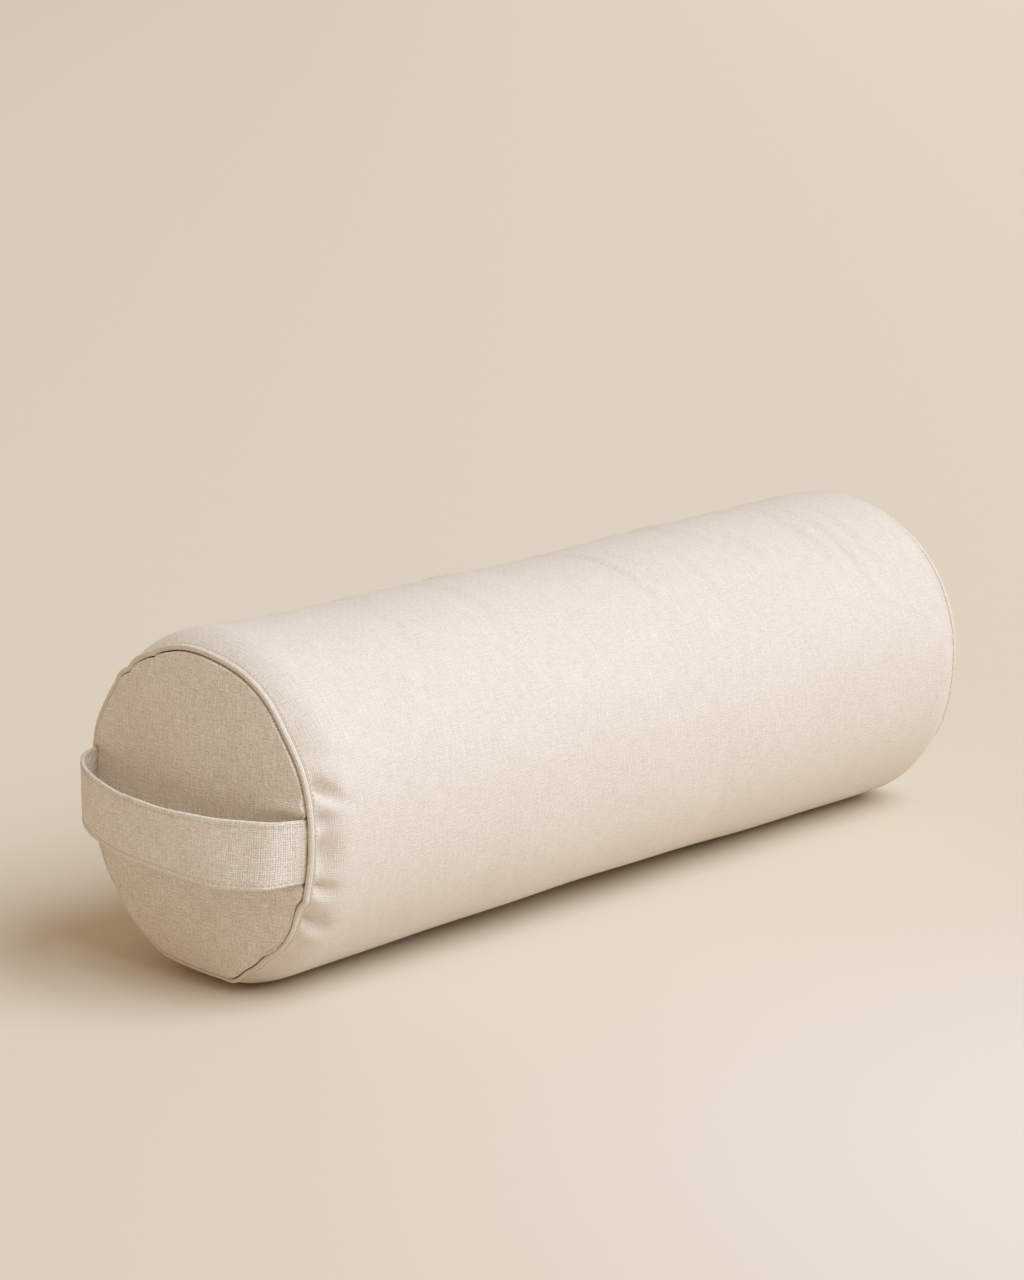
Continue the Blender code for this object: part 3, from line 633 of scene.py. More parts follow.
REAR_PLEATS = (
    (151.0, 0.0016, 1.6, 0.0060, 0.0), (157.0, 0.0020, 1.5, 0.0070, 0.0),
    (163.0, 0.0014, 1.6, 0.0060, 0.0), (174.0, 0.0009, 2.2, 0.0090, 0.0),
    (22.0, 0.0016, 2.0, 0.0080, 1.0), (38.0, 0.0012, 2.4, 0.0080, -1.0),
)
PLEAT_START = 0.005  # from the seam's plane
# Long slack places: direction and width in degrees, places along the axis where each begins, is full, eases
# and ends, and depth
HOLLOWS = (
    (250.0, 15.0, -0.260, -0.070, -0.030, 0.200, 0.0038),
    (74.0, 34.0, -0.320, -0.220, 0.000, 0.230, 0.0036),
)
GATHER_HEIGHT = 0.00030  # of the small even waves that sewing a tube to a disc leaves
GATHER_PLACE, GATHER_WIDTH = 0.011, 0.006  # where these waves are highest, from the seam, and how wide
UNEVENNESS = 0.0007  # of the stuffing under the cloth
UNEVEN_FROM, UNEVEN_FULLY = 0.010, 0.060  # distances from the seam
CALM_TO, WRINKLED_FROM = 9.0, 20.0  # degrees from the zip's middle: no wrinkles, and full ones
DENTS_FROM = 0.006  # distance from the seam past which a dent reaches the allowances
random = np.random.default_rng(SEED)
hidden_wrinkles = [
    (
        random.uniform(-0.27, 0.27),
        start,
        start + random.uniform(40, 75),
        random.uniform(0.0005, 0.0012),
        random.uniform(0.005, 0.009),
        random.uniform(-0.014, 0.014),
    )
    for start in random.uniform(-50, 60, HIDDEN_WRINKLES)
]
swells = [
    (random.uniform(12, 55), random.uniform(-4, 4), random.uniform(0, 2 * math.pi)) for _ in range(SWELLS)
]


def wrinkle(angle, x, place, first, last, depth, half_width, drift):
    """A groove with a ridge on each side, which fades towards both its ends."""
    share = np.clip((turn_from(angle, (first + last) / 2) + (last - first) / 2) / (last - first), 0, 1)
    across = (x - place - drift * (share - 0.5)) / half_width
    groove = bell(across, 1.0) - 0.5 * bell(across - 1.9, 1.2) - 0.25 * bell(across + 2.1, 1.3)
    return -depth * np.sin(math.pi * share) ** 1.3 * groove


def pleat(angle, distance, centre, depth, width, reach, slant):
    """A fold square to the seam: nothing at the seam, deepest near its reach and soon gone past it."""
    out = np.maximum(distance - PLEAT_START, 0) / reach
    across = turn_from(angle, centre) - slant * np.minimum(out, 2)
    return -depth * bell(across, width) * out**0.7 * np.exp(1 - out**1.5)


def barrel_relief(angle, x):
    """How far the barrel's cloth stands out from the plain outline; the zip's tape holds it straight."""
    relief = np.zeros(np.broadcast(angle, x).shape)
    for numbers in SEEN_WRINKLES + tuple(hidden_wrinkles):
        relief += wrinkle(angle, x, *numbers)
    for end, pleats in ((FRONT, FRONT_PLEATS), (REAR, REAR_PLEATS)):
        distance = LENGTH / 2 - end * x
        for numbers in pleats:
            relief += pleat(angle, distance, *numbers)
        wave = np.sin(angle * 47 + 3 * np.sin(angle * 5 + end)) * np.sin(angle * 19 + 2 * end)
        relief += GATHER_HEIGHT * wave * bell(distance - GATHER_PLACE, GATHER_WIDTH)
    for side, width, first, full, ease, last, depth in HOLLOWS:
        along = smooth(x, first, full) * smooth(-x, -last, -ease)
        relief -= depth * bell(turn_from(angle, side), width) * along
    middle = inward(x, UNEVEN_FROM, UNEVEN_FULLY)
    for along, around, phase in swells:
        relief += UNEVENNESS / 4 * middle * np.sin(along * x + round(around) * angle + phase)
    from_zip = np.abs(turn_from(angle, math.degrees(ZIP_ANGLE)))
    return relief * smooth(from_zip, CALM_TO, WRINKLED_FROM)


def allowance_sink(angle, end):
    """How much deeper the seam allowances end, where a dent in the cover presses on them."""
    edge, edge_inset, *_, hem = barrel_edge(angle, end)
    lip = hem + GAP
    sink = np.zeros(np.shape(angle))
    for distance in np.linspace(DENTS_FROM, SEAM_ALLOWANCE, 4):
        x = np.full(np.shape(angle), end * (LENGTH / 2 - distance))
        cover = shoulder_inset(distance, edge_inset, edge) - barrel_relief(angle, x)
        share = (distance - edge) / (SEAM_ALLOWANCE - edge)
        sink = np.maximum(sink, (cover + CANVAS_THICKNESS - lip) / share)
    return sink


print("wrinkles laid by hand:", len(SEEN_WRINKLES), "and at random:", len(hidden_wrinkles))
deepest = allowance_sink(np.radians(np.arange(360)), FRONT).max()
print("front seam allowances pressed in by up to", round(1000 * float(deepest), 1), "mm")

# %% [markdown]
# ## The barrel's cover
# The barrel is one sheet of canvas sewn to a tube. Its rows run along the axis: close together at the
# seam, where the cloth rolls over into the crease beside the piping, and wider apart in the middle. Its
# columns run round it, with some exactly at the edges of the zip's opening, so that the opening is cut
# by leaving cells out and needs no boolean.

# %% Rows and columns of the barrel
EDGE_ROWS = 6
SHOULDER_ROWS = 17
SHOULDER_CROWDING = 1.3  # above 1, the rows lie closer together at the seam
SHOULDER_PAST = 0.004  # how far these rows go on past the shoulder
MIDDLE_ROWS = 166
ZIP_COLUMNS = (-17, -14, -11, -9, -7.6, -6.7, -6, -3.5, -1.2, 0, 1.2, 3.5, 6, 6.7, 7.6, 9, 11, 14, 17)
ROUND_COLUMNS = 196
ZIP_HALF_OPENING = 0.250
ZIP_HALF_WIDTH = 0.006


def zip_column(down):
    """The direction of a line that runs beside the zip's middle, this far down."""
    point = zip_point(0.0, down, 0.0) - AXIS
    return math.atan2(point.z, point.y)


beside_zip = [zip_column(-millimetres / 1000) for millimetres in ZIP_COLUMNS]
rest = np.linspace(beside_zip[-1], beside_zip[0] + 2 * math.pi, ROUND_COLUMNS + 1)[1:-1]
COLUMNS = np.array(beside_zip + list(rest))


def edge_profile(angle, end):
    """The barrel's rows at one end, from its hidden edge over the roll to the end of the shoulder."""
    edge, edge_inset, roll, roll_end, centre, hem = barrel_edge(angle, end)
    turns = np.linspace(0, EDGE_TURN, EDGE_ROWS)[:, None]
    shares = (np.arange(1, SHOULDER_ROWS + 1) / SHOULDER_ROWS)[:, None] ** SHOULDER_CROWDING
    distances = roll_end + (SHOULDER_LENGTH + SHOULDER_PAST - roll_end) * shares
    insets = [
        [hem, (hem + centre) / 2],
        centre - roll * np.sin(turns),
        shoulder_inset(distances, edge_inset, edge),
    ]
    return (
        np.concatenate([[edge, edge], edge + roll * (1 - np.cos(turns)), distances]),
        np.concatenate(insets),
    )


def barrel_grid(angle):
    """Place along the axis and inset of each of the barrel's points."""
    near, near_inset = edge_profile(angle, FRONT)
    far, far_inset = edge_profile(angle, REAR)
    first, last = near[-1, 0] - LENGTH / 2, LENGTH / 2 - far[-1, 0]
    middle = np.linspace(first, last, MIDDLE_ROWS + 2)[1:-1]
    for edge in (-ZIP_HALF_OPENING, ZIP_HALF_OPENING):
        middle[np.argmin(np.abs(middle - edge))] = edge
    middle = np.repeat(middle[:, None], len(angle), 1)
    x = np.concatenate([near - LENGTH / 2, middle, LENGTH / 2 - far[::-1]])
    return x, np.concatenate([near_inset, np.zeros_like(middle), far_inset[::-1]])


x, inset = barrel_grid(COLUMNS)
relief = barrel_relief(COLUMNS, x)
relief_range = [round(1000 * float(height), 2) for height in (relief.min(), relief.max())]
print("barrel rows and columns:", x.shape, "- relief in mm from and to:", relief_range)

# %% Sew the barrel
HEM_HEIGHT = 0.0003  # how much the folded hems beside the zip stand up
HEM_WIDTH, HEM_EASE = 0.009, 0.002
LONG_SEAM_DEPTH, LONG_SEAM_WIDTH = 0.0009, 0.0009
LONG_SEAM_FROM, LONG_SEAM_FULLY = 0.006, 0.010  # distances from the end seams
OPENING_MARGIN = 0.001
ELSEWHERE = 1.0  # stands for a column that isn't beside the zip

offsets = np.array([-millimetres / 1000 for millimetres in ZIP_COLUMNS] + [ELSEWHERE] * len(rest))
beyond = np.abs(x) > ZIP_HALF_OPENING + OPENING_MARGIN
hem = HEM_HEIGHT * smooth(HEM_WIDTH - np.abs(offsets), 0.0, HEM_EASE) * (~beyond)
long_seam = -LONG_SEAM_DEPTH * bell(offsets, LONG_SEAM_WIDTH) * beyond
long_seam = long_seam * inward(x, LONG_SEAM_FROM, LONG_SEAM_FULLY)
radius = flattened(round_radius(COLUMNS, inset) + relief, COLUMNS) + hem + long_seam
row_middles = (x[:-1, 0] + x[1:, 0]) / 2
in_rows = np.abs(row_middles) < ZIP_HALF_OPENING
widths = np.append(offsets, offsets[0])
in_columns = np.abs((widths[:-1] + widths[1:]) / 2) < ZIP_HALF_WIDTH
cut = in_rows[:, None] & in_columns[None, :]
barrel = cloth_piece("barrel_cover", placed(x, radius, COLUMNS), CANVAS, skip=cut)
thicken(barrel, CANVAS_THICKNESS)
settle(barrel, "cushion", "canvas", "barrel_panel")

# %% [markdown]
# ## The end panels
# A disc of canvas closes each end, and the stuffing pushes it out into a shallow dome. Its edge rolls
# over into the crease beside the piping and runs on inside as seam allowance. The strap's two ends are
# sewn in between the piping and this disc, so there the disc is pressed in by the strap's thickness. The
# grid here runs in rings from the middle outwards; the threads don't turn with the rings, so the
# map of metres is taken straight from the flat cut.

# %% Where the strap is sewn in
STRAP_WIDTH = 0.042
STRAP_THICKNESS = 0.0027
STRAP_INSET = 0.01377  # of its middle from the outline, where it is sewn in
STRAP_LIFT = -0.0046  # middle of its ends above the axis
STRAP_TILT = 0.0064  # how much higher the left end is than the middle of the two
PRESSED_DEPTH = 0.0029
PRESSED_EASE = 1.7  # degrees over which the panel comes back to its own line


def side_at(height, inset):
    """Half the width of the outline, inset all round, at these heights above the axis."""
    height = np.asarray(height, dtype=float)
    rise, power = half_shape(height, inset)
    return (HALF_WIDTH - inset) * (1 - (np.abs(height) / rise) ** power) ** (1 / power)


def strap_directions(side):
    """Directions of the sewn strap's two edges, from the axis; side is 1 for the left end."""
    heights = STRAP_LIFT + side * STRAP_TILT + np.array([-0.5, 0.5]) * STRAP_WIDTH
    return np.degrees(np.arctan2(heights, side * side_at(heights, STRAP_INSET))) % 360


SEATS = []
for side in (-1, 1):
    low, high = strap_directions(side)
    middle = low + turn_from(math.radians(high), low) / 2
    SEATS.append((middle, abs(turn_from(math.radians(high), low)) / 2))


def pressed(angle):
    """1 behind the strap's ends, 0 away from them."""
    total = np.zeros(np.shape(angle))
    for middle, half in SEATS:
        total += smooth(half - np.abs(turn_from(angle, middle)), -PRESSED_EASE, 0.0)
    return total


print("strap sewn in at", [(round(float(m), 1), round(float(h), 1)) for m, h in SEATS], "degrees")

# %% Sew the end panels
PANEL_BULGE = 0.012
PANEL_RINGS = 52
PANEL_COLUMNS = 360
ROLL_ROUND = 0.0005  # radius of the panel's rolled edge
ROLL_OUTSIDE = 0.00045  # distance of the roll's centre outside the seam's plane
CREASE = 0.0007  # between the piping's lip and the panel
ROLL_START, ROLL_TURN = math.radians(14), math.radians(90)
ROLL_ROWS = 8
FADE_TURNS = (0.3, 1.5)  # radians of the roll over which the folds at the edge fade out
HEM_DISTANCES = (0.001, PIPING_RADIUS, SEAM_ALLOWANCE)  # of the hidden hem's rows from the seam's plane
LIFT_REACH = 0.007  # from the edge, over which the strap presses the panel in
PANEL_SWELL = 0.00022  # unevenness of the stuffing behind it
PANEL_GATHER, PANEL_GATHER_REACH = 0.00018, 0.008
EDGE_LIFT = ROLL_ROUND * math.cos(ROLL_START) + ROLL_OUTSIDE
# Direction in degrees, height, width in degrees and reach towards the middle; negative is a groove
PANEL_FOLDS = {
    FRONT: (
        (169.5, 0.0019, 2.0, 0.026), (173.3, -0.0016, 1.5, 0.018), (163.0, -0.0005, 4.5, 0.030),
        (200.5, -0.0009, 1.8, 0.014), (204.5, 0.0009, 2.6, 0.020), (212.0, -0.0006, 3.0, 0.016),
        (17.0, 0.0009, 2.5, 0.022), (12.5, -0.0009, 1.8, 0.014), (-15.5, 0.0008, 2.5, 0.018),
        (-11.0, -0.0009, 1.8, 0.014), (232.0, -0.0007, 3.5, 0.016), (244.0, 0.0005, 4.0, 0.022),
        (303.0, 0.0005, 5.0, 0.020),
    ),
    REAR: (
        (40.0, 0.0008, 3.0, 0.018), (47.0, -0.0006, 3.0, 0.020), (150.0, 0.0006, 4.0, 0.022),
        (225.0, -0.0008, 4.0, 0.020), (309.0, -0.0007, 4.0, 0.020), (98.0, -0.0005, 5.0, 0.018),
    ),
}
panel_angles = circle(PANEL_COLUMNS)


def roll_inset(angle, end):
    """Insets of the centre of the panel's rolled edge: without the strap and with it."""
    plain = LIP_OUTER + CREASE + ROLL_ROUND + seam_push(angle, end)
    return plain, plain + (PRESSED_DEPTH * pressed(angle) if end == FRONT else 0)


def dome(angle, radius, end):
    """How far the panel stands past the seam's plane, at this direction and distance from the axis."""
    plain, sewn = [
        round_radius(angle, inset - ROLL_ROUND * math.sin(ROLL_START)) for inset in roll_inset(angle, end)
    ]
    from_edge = sewn - radius
    lift = (PANEL_BULGE - EDGE_LIFT) * (1 - (sewn / plain) ** 2)
    out = EDGE_LIFT + (PANEL_BULGE - EDGE_LIFT) * (1 - (radius / plain) ** 2)
    out = out - lift * bell(from_edge, LIFT_REACH)
    for centre, height, width, reach in PANEL_FOLDS[end]:
        swing = turn_from(angle, centre) * radius / HALF_WIDTH
        out = out + height * bell(swing, width) * bell(from_edge - 0.2 * reach, reach * 0.8)
    across, up = radius * np.cos(angle), radius * np.sin(angle)
    swell = np.sin(53 * across + 31 * up + end) + np.sin(71 * up - 23 * across + 2)
    swell = swell + np.sin(38 * up + 61 * across)
    wave = np.sin(angle * 43 + 2 * np.sin(angle * 7)) * np.sin(angle * 17 + end)
    gather = PANEL_GATHER * wave * bell(from_edge - PANEL_GATHER_REACH, PANEL_GATHER_REACH)
    return out + PANEL_SWELL * swell + gather


def tip_of(end, depth=0.0):
    """The middle of an end panel, or of a cloth this far behind it."""
    return (end * (LENGTH / 2 + float(dome(0.0, 0.0, end)) - depth), 0.0, AXIS_HEIGHT)


def ring_shares(count):
    """Even rings that draw closer together towards the edge."""
    share = np.arange(1, count + 1) / count
    return (share * (1.35 - 0.35 * share))[:, None]


for end, name in ENDS:
    centre = roll_inset(panel_angles, end)[1]
    edge = round_radius(panel_angles, centre - ROLL_ROUND * math.sin(ROLL_START))
    radius = edge * ring_shares(PANEL_RINGS)
    out = dome(panel_angles, radius, end)
    turns = np.linspace(ROLL_START, ROLL_TURN, ROLL_ROWS)[1:, None]
    rolled = round_radius(panel_angles, centre - ROLL_ROUND * np.sin(turns))
    folds_left = (out[-1] - EDGE_LIFT) * smooth(-turns, -FADE_TURNS[1], -FADE_TURNS[0])
    turned_out = ROLL_ROUND * np.cos(turns) + ROLL_OUTSIDE + folds_left
    hem = centre - ROLL_ROUND
    hem_inset = np.stack([hem, hem, hem + allowance_sink(panel_angles, end)])
    hem_out = 0 * hem_inset - np.array(HEM_DISTANCES)[:, None]
    outs = np.concatenate([out, turned_out, hem_out])
    radii = np.concatenate([radius, rolled, round_radius(panel_angles, hem_inset)])
    points = placed(end * (LENGTH / 2 + outs), radii, panel_angles)
    panel = cloth_piece(
        f"{name}_end_cover", points, PANEL_CANVAS_PAINTED_LIGHTER, turned=end == REAR, poles=[tip_of(end)], flat=(1, 2)
    )
    thicken(panel, CANVAS_THICKNESS)
    settle(panel, "cushion", "canvas", f"{name}_end_panel")

# %% [markdown]
# ## The piping and its cord
# Piping is a strip of the same canvas, cut on the slant, folded round a cord and sewn in with both its
# lips between the two cloths. Its section is an almost closed ring, open at the back where the lips run
# into the seam. The cord has three strands laid round each other, so its section is a rounded trefoil
# that turns as it goes, and one strand after the other comes up every 12 mm.

# %% Fold the piping and lay the cord in it
PIPING_ROWS = 20
PIPING_COLUMNS = 760
PIPING_PUCKER = 0.00010
LIP_ROW, LIP_ROW_SINK = 0.6, 0.3  # of the outer lip's middle row: shares of the depth and of the sink
CORD_ROOM = 0.00075  # between the piping's outside and the cord
CORD_SIDES = 14
CORD_COLUMNS = 900
CORD_LAY = 0.012  # from one strand to the next
STRAND_BULGE = 0.10  # of the cord's radius
piping_angles = circle(PIPING_COLUMNS)
cord_angles = circle(CORD_COLUMNS)

for end, name in ENDS:
    ridge = piping_radius(piping_angles, end)
    push = seam_push(piping_angles, end)
    pucker = np.sin(piping_angles * 131 + 2 * np.sin(piping_angles * 9)) + np.sin(piping_angles * 83)
    turns = np.linspace(0, 1.5 * math.pi, PIPING_ROWS)[:, None]
    swollen = ridge + PIPING_PUCKER / 2 * pucker * np.maximum(np.sin(turns * 2 / 3), 0)
    ring_distance = ridge - swollen * np.sin(turns)
    ring_inset = LIP_OUTER - ridge + swollen * np.cos(turns) + push
    lip = np.full((1, PIPING_COLUMNS), SEAM_ALLOWANCE)
    inner_lip = (barrel_edge(piping_angles, end)[-1] + GAP)[None]
    distances = np.concatenate([lip, lip * LIP_ROW, ring_distance, 2 * ridge[None], lip])
    outer_lip = LIP_OUTER + push[None]
    sink = allowance_sink(piping_angles, end)[None]
    outer_lips = [outer_lip + sink, outer_lip + LIP_ROW_SINK * sink]
    insets = np.concatenate([*outer_lips, ring_inset, inner_lip, inner_lip + sink])
    points = at_end(end, distances, insets, piping_angles)
    piping = cloth_piece(f"{name}_piping_strip", points, PIPING_CANVAS, turned=end == REAR)
    thicken(piping, PIPING_CLOTH)
    settle(piping, "cushion", "canvas", f"{name}_piping")

    ridge = piping_radius(cord_angles, end)
    length = 2 * math.pi * (HALF_WIDTH - SHOULDER_LENGTH / 3)
    turns = circle(CORD_SIDES)[:, None]
    laid = cord_angles * round(length / CORD_LAY)
    thick = (ridge - CORD_ROOM) * (1 - STRAND_BULGE + STRAND_BULGE * np.cos(3 * turns - laid))
    distances = ridge - thick * np.sin(turns)
    insets = LIP_OUTER - ridge + thick * np.cos(turns) + seam_push(cord_angles, end)
    points = at_end(end, distances, insets, cord_angles)
    cord = cloth_piece(f"{name}_cord", points, CORD, endless=True, turned=end == REAR)
    settle(cord, "cushion", "piping_cord", f"{name}_piping_cord")

# %% [markdown]
# ## The carry strap
# The strap is a strip of canvas folded lengthways in four and stitched along both edges. Its sewn ends
# follow the curve of the seam, and further out it stands as a flat arch, so a middle surface is worked
# out first and the thickness is laid on both sides of it. The section has rounded folded edges and a
# shallow valley along each row of stitches. One piece stands for the arch and both its sewn ends.

# %% Shape the strap
STRAP_SAG = 0.006
STRAP_HANDLES = (0.052, 0.030, 0.055, 0.004)  # right reach and lean, left reach and lean
STRAP_FLATTEN = 0.025  # distance out at which it no longer follows the seam's curve
CURVE_POINTS, TUCKED_POINTS = 400, 12  # of the arch and of each sewn end, before they are spread evenly
STRAP_STATIONS = 420
STRAP_STRIPS = 31
STRIP_CROWDING = 0.35  # how much closer together the strips lie towards the strap's edges
STITCH_INSET = 0.0035  # from the strap's edge to its row of stitches
STITCH_PITCH = 0.0040
VALLEY_DEPTH = 0.00045
VALLEY_WIDTH = 0.0011
EDGE_WAVER = 0.00035  # of the hand-guided folds
COCKLE = 0.00010  # unevenness of its faces
# The lower edge flares where the strap turns to the right end, and its face bulges beside the seam
FLARE_MIDDLE, FLARE_WIDTH, FLARE_DROP, FLARE_OUT = -0.62, 0.30, 0.0018, 0.0060
FLARE_FROM, FLARE_FULLY = 0.002, 0.020  # distances out
BULGE_AT, BULGE_WIDTH, BULGE_HEIGHT = 0.034, 0.013, 0.0042


def strap_line(count):
    """Points along the strap's middle as (distance out, across), right end first and evenly spaced."""
    end = float(side_at(STRAP_LIFT, STRAP_INSET))
    right_reach, right_lean, left_reach, left_lean = STRAP_HANDLES
    handles = np.array([(0, -end), (right_reach, right_lean - end), (left_reach, end - left_lean), (0, end)])
    t = np.linspace(0, 1, CURVE_POINTS)[:, None]
    weights = np.concatenate([(1 - t) ** 3, 3 * t * (1 - t) ** 2, 3 * t**2 * (1 - t), t**3], axis=1)
    inside = np.linspace(-SEAM_ALLOWANCE, 0, TUCKED_POINTS, endpoint=False)
    right = np.stack([inside, 0 * inside - end], axis=1)
    left = np.stack([inside[::-1], 0 * inside + end], axis=1)
    line = np.concatenate([right, weights @ handles, left])
    run = run_along(line)
    even = np.linspace(0, run[-1], count)
    return at_runs(even, run, line), even, end


def strap_surface(line, run, end, spots):
    """The strap's middle surface and its outward normals; spots are shares of its half width."""
    out, across = line[:, :1], line[:, 1:]
    share = across / end
    middle = STRAP_LIFT + STRAP_TILT * share - STRAP_SAG * (1 - np.minimum(1, share**2))
    waver = EDGE_WAVER * np.sin(95 * across + 1.7) * np.sin(61 * across)
    flare = bell(share - FLARE_MIDDLE, FLARE_WIDTH) * (1 - spots) / 2 * smooth(out, FLARE_FROM, FLARE_FULLY)
    height = middle + spots * STRAP_WIDTH / 2 + waver * spots**2 - FLARE_DROP * flare
    bend = np.maximum(0, 1 - np.maximum(0, out) / STRAP_FLATTEN) ** 2
    side = np.where(across < 0, -1, 1)
    bulge = BULGE_HEIGHT * bell(run[:, None] - BULGE_AT, BULGE_WIDTH)
    y = across + side * bend * (side_at(height, STRAP_INSET) - end) - bulge
    tucked_in = np.maximum(-out, 0) / SEAM_ALLOWANCE
    y = y - side * tucked_in * allowance_sink(np.arctan2(height, y), FRONT)
    surface = np.stack([-LENGTH / 2 - out - FLARE_OUT * flare, y, AXIS_HEIGHT + height], axis=-1)
    return surface, unit(np.cross(np.gradient(surface, axis=0), np.gradient(surface, axis=1)))


def strap_half_thickness(spots, run):
    """Half the strap's thickness: round at its folds, and drawn down along its rows of stitches."""
    flat_share = 1 - STRAP_THICKNESS / STRAP_WIDTH
    corner = np.maximum(np.abs(spots) - flat_share, 0) / (1 - flat_share)
    round_edge = np.sqrt(np.maximum(1 - corner**2, 0))
    from_stitches = (1 - np.abs(spots)) * STRAP_WIDTH / 2 - STITCH_INSET
    pucker = 0.75 + 0.25 * np.cos(2 * math.pi * run / STITCH_PITCH)
    valley = VALLEY_DEPTH * pucker * bell(from_stitches, VALLEY_WIDTH)
    cockle = COCKLE * np.sin(310 * run + 4 * spots) * np.sin(97 * run - 3 * spots)
    return (STRAP_THICKNESS / 2 - valley + cockle) * round_edge


line, run, strap_end = strap_line(STRAP_STATIONS)
spread = np.linspace(-1, 1, STRAP_STRIPS)
spots = np.sin(spread * math.pi / 2) * STRIP_CROWDING + spread * (1 - STRIP_CROWDING)
surface, normal = strap_surface(line, run, strap_end, spots[None])
half = strap_half_thickness(spots[None], run[:, None])[..., None]
faces_out = surface + normal * half
faces_in = (surface - normal * half)[:, 1:-1][:, ::-1]
section = np.concatenate([faces_out, faces_in], axis=1)
ends = [tuple(section[number].mean(axis=0)) for number in (0, -1)]
strap = cloth_piece("strap", section, STRAP_CANVAS_PAINTED_LIGHTER, poles=ends)
print("strap's length with its sewn ends in mm:", round(1000 * float(run[-1]), 1))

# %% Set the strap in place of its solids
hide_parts("handle_strap", "handle_root_left", "handle_root_right")
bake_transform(strap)

# %% [markdown]
# ## Stitches
# Each stitch that shows is a short length of thread that dives into the cloth at both ends. A stitch is
# modelled once, as a small capsule, and set down along a line of points at the machine's pitch. They
# run along both edges of the strap on both faces, beside the piping, and round the zip.

# %% Set stitches along a line
# Place along a stitch, and thickness there, as shares of half its length and of the thread's
CAPSULE = np.array([(-1, 0.25), (-0.86, 0.75), (-0.5, 1.0), (0.5, 1.0), (0.86, 0.75), (1, 0.25)])
CAPSULE_SIDES = 6


def stitches(path, normals, pitch, length, thickness):
    """Vertices, a grid for each stitch, set at this pitch along a path and lying on it."""
    run = run_along(path)
    middles = np.arange(pitch / 2, run[-1] - pitch / 2, pitch)
    near, far = [at_runs(middles + half, run, path) for half in (-length / 2, length / 2)]
    along = unit(far - near)
    up = at_runs(middles, run, normals)
    aside = np.cross(along, up)
    middle = at_runs(middles, run, path)
    turns = circle(CAPSULE_SIDES)
    ring = np.cos(turns)[:, None] * aside[:, None, None] + np.sin(turns)[:, None] * up[:, None, None]
    lengthways = CAPSULE[:, 0, None, None] * along[:, None, None] * length / 2
    return middle[:, None, None] + lengthways + ring * CAPSULE[:, 1, None, None] * thickness / 2


def stitch_piece(name, groups):
    """All these stitches as one piece, each closed at both ends."""
    grids = np.concatenate(groups)
    count = CAPSULE_SIDES
    size = len(CAPSULE) * count
    cells = grid_cells(len(CAPSULE), count + 1).reshape(-1, 4)
    rows, columns = np.divmod(cells, count + 1)
    quads = (rows * count + columns % count).tolist()
    caps = [list(range(count)), list(range(size))[: -count - 1 : -1]]
    each = quads + caps
    faces = [[v + number * size for v in face] for number in range(len(grids)) for face in each]
    corners = sum(len(face) for face in each)
    spots = np.random.default_rng(SEED).uniform(0, 0.01, (corners, 2))
    places = np.tile(spots, (len(grids), 1))
    piece = new_piece(name, grids.reshape(-1, 3).tolist(), faces, places, THREAD)
    print(f"{name}: {len(grids)} stitches")
    return piece


# %% Stitch the strap
THREAD_THICKNESS = 0.00065
THREAD_RISE = 0.2  # of that, how far the thread's middle stands off the cloth
STITCH_LENGTH = 0.0030
FIRST_STITCH = 0.0005  # distance out of the seam
BESIDE = 0.01  # shares of the half width between which the cloth's slope is taken

rows_of_stitches = []
for share in (-1, 1):
    spot = share * (1 - 2 * STITCH_INSET / STRAP_WIDTH)
    near = np.array([spot - BESIDE, spot, spot + BESIDE])
    middle, facing = strap_surface(line, run, strap_end, near[None])
    depth = strap_half_thickness(np.array([[spot]]), run[:, None])
    for side in (-1, 1):
        path = middle[:, 1] + side * facing[:, 1] * (depth + THREAD_THICKNESS * THREAD_RISE)
        outside = line[:, 0] > FIRST_STITCH
        path, up = path[outside], side * facing[outside, 1]
        rows_of_stitches.append(stitches(path, up, STITCH_PITCH, STITCH_LENGTH, THREAD_THICKNESS))
strap_stitches = stitch_piece("strap_topstitching", rows_of_stitches)
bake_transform(strap_stitches)

# %% Stitch beside the piping and round the zip
SEAM_STITCH_PITCH = 0.0032
SEAM_STITCH_LENGTH = 0.0020
SEAM_THREAD = 0.0004
SEAM_STITCH_LINE = 0.0006  # past the roll of the barrel's edge
SEAM_STITCH_RISE = 0.00005
SEAM_STITCH_LEAN = 0.5  # of its upper side towards the end
HEM_STITCH_LINE = 0.0090  # from the zip's middle
HEM_STITCH_END = 0.0035  # past the zip's opening
SEAM_POINTS, HEM_POINTS = 1400, 200  # along each path

around = np.linspace(0, 2 * math.pi, SEAM_POINTS)
seam_rows = []
for end in (FRONT, REAR):
    edge, edge_inset, _, roll_end, *_ = barrel_edge(around, end)
    distance = roll_end + SEAM_STITCH_LINE
    inset = shoulder_inset(distance, edge_inset, edge) - SEAM_STITCH_RISE
    path = at_end(end, distance, inset, around)
    facing = np.stack([SEAM_STITCH_LEAN * end + 0 * around, np.cos(around), np.sin(around)], axis=1)
    facing /= math.sqrt(1 + SEAM_STITCH_LEAN**2)
    seam_rows.append(stitches(path, facing, SEAM_STITCH_PITCH, SEAM_STITCH_LENGTH, SEAM_THREAD))
seam_stitches = stitch_piece("piping_stitches", seam_rows)
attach(seam_stitches, "cushion")

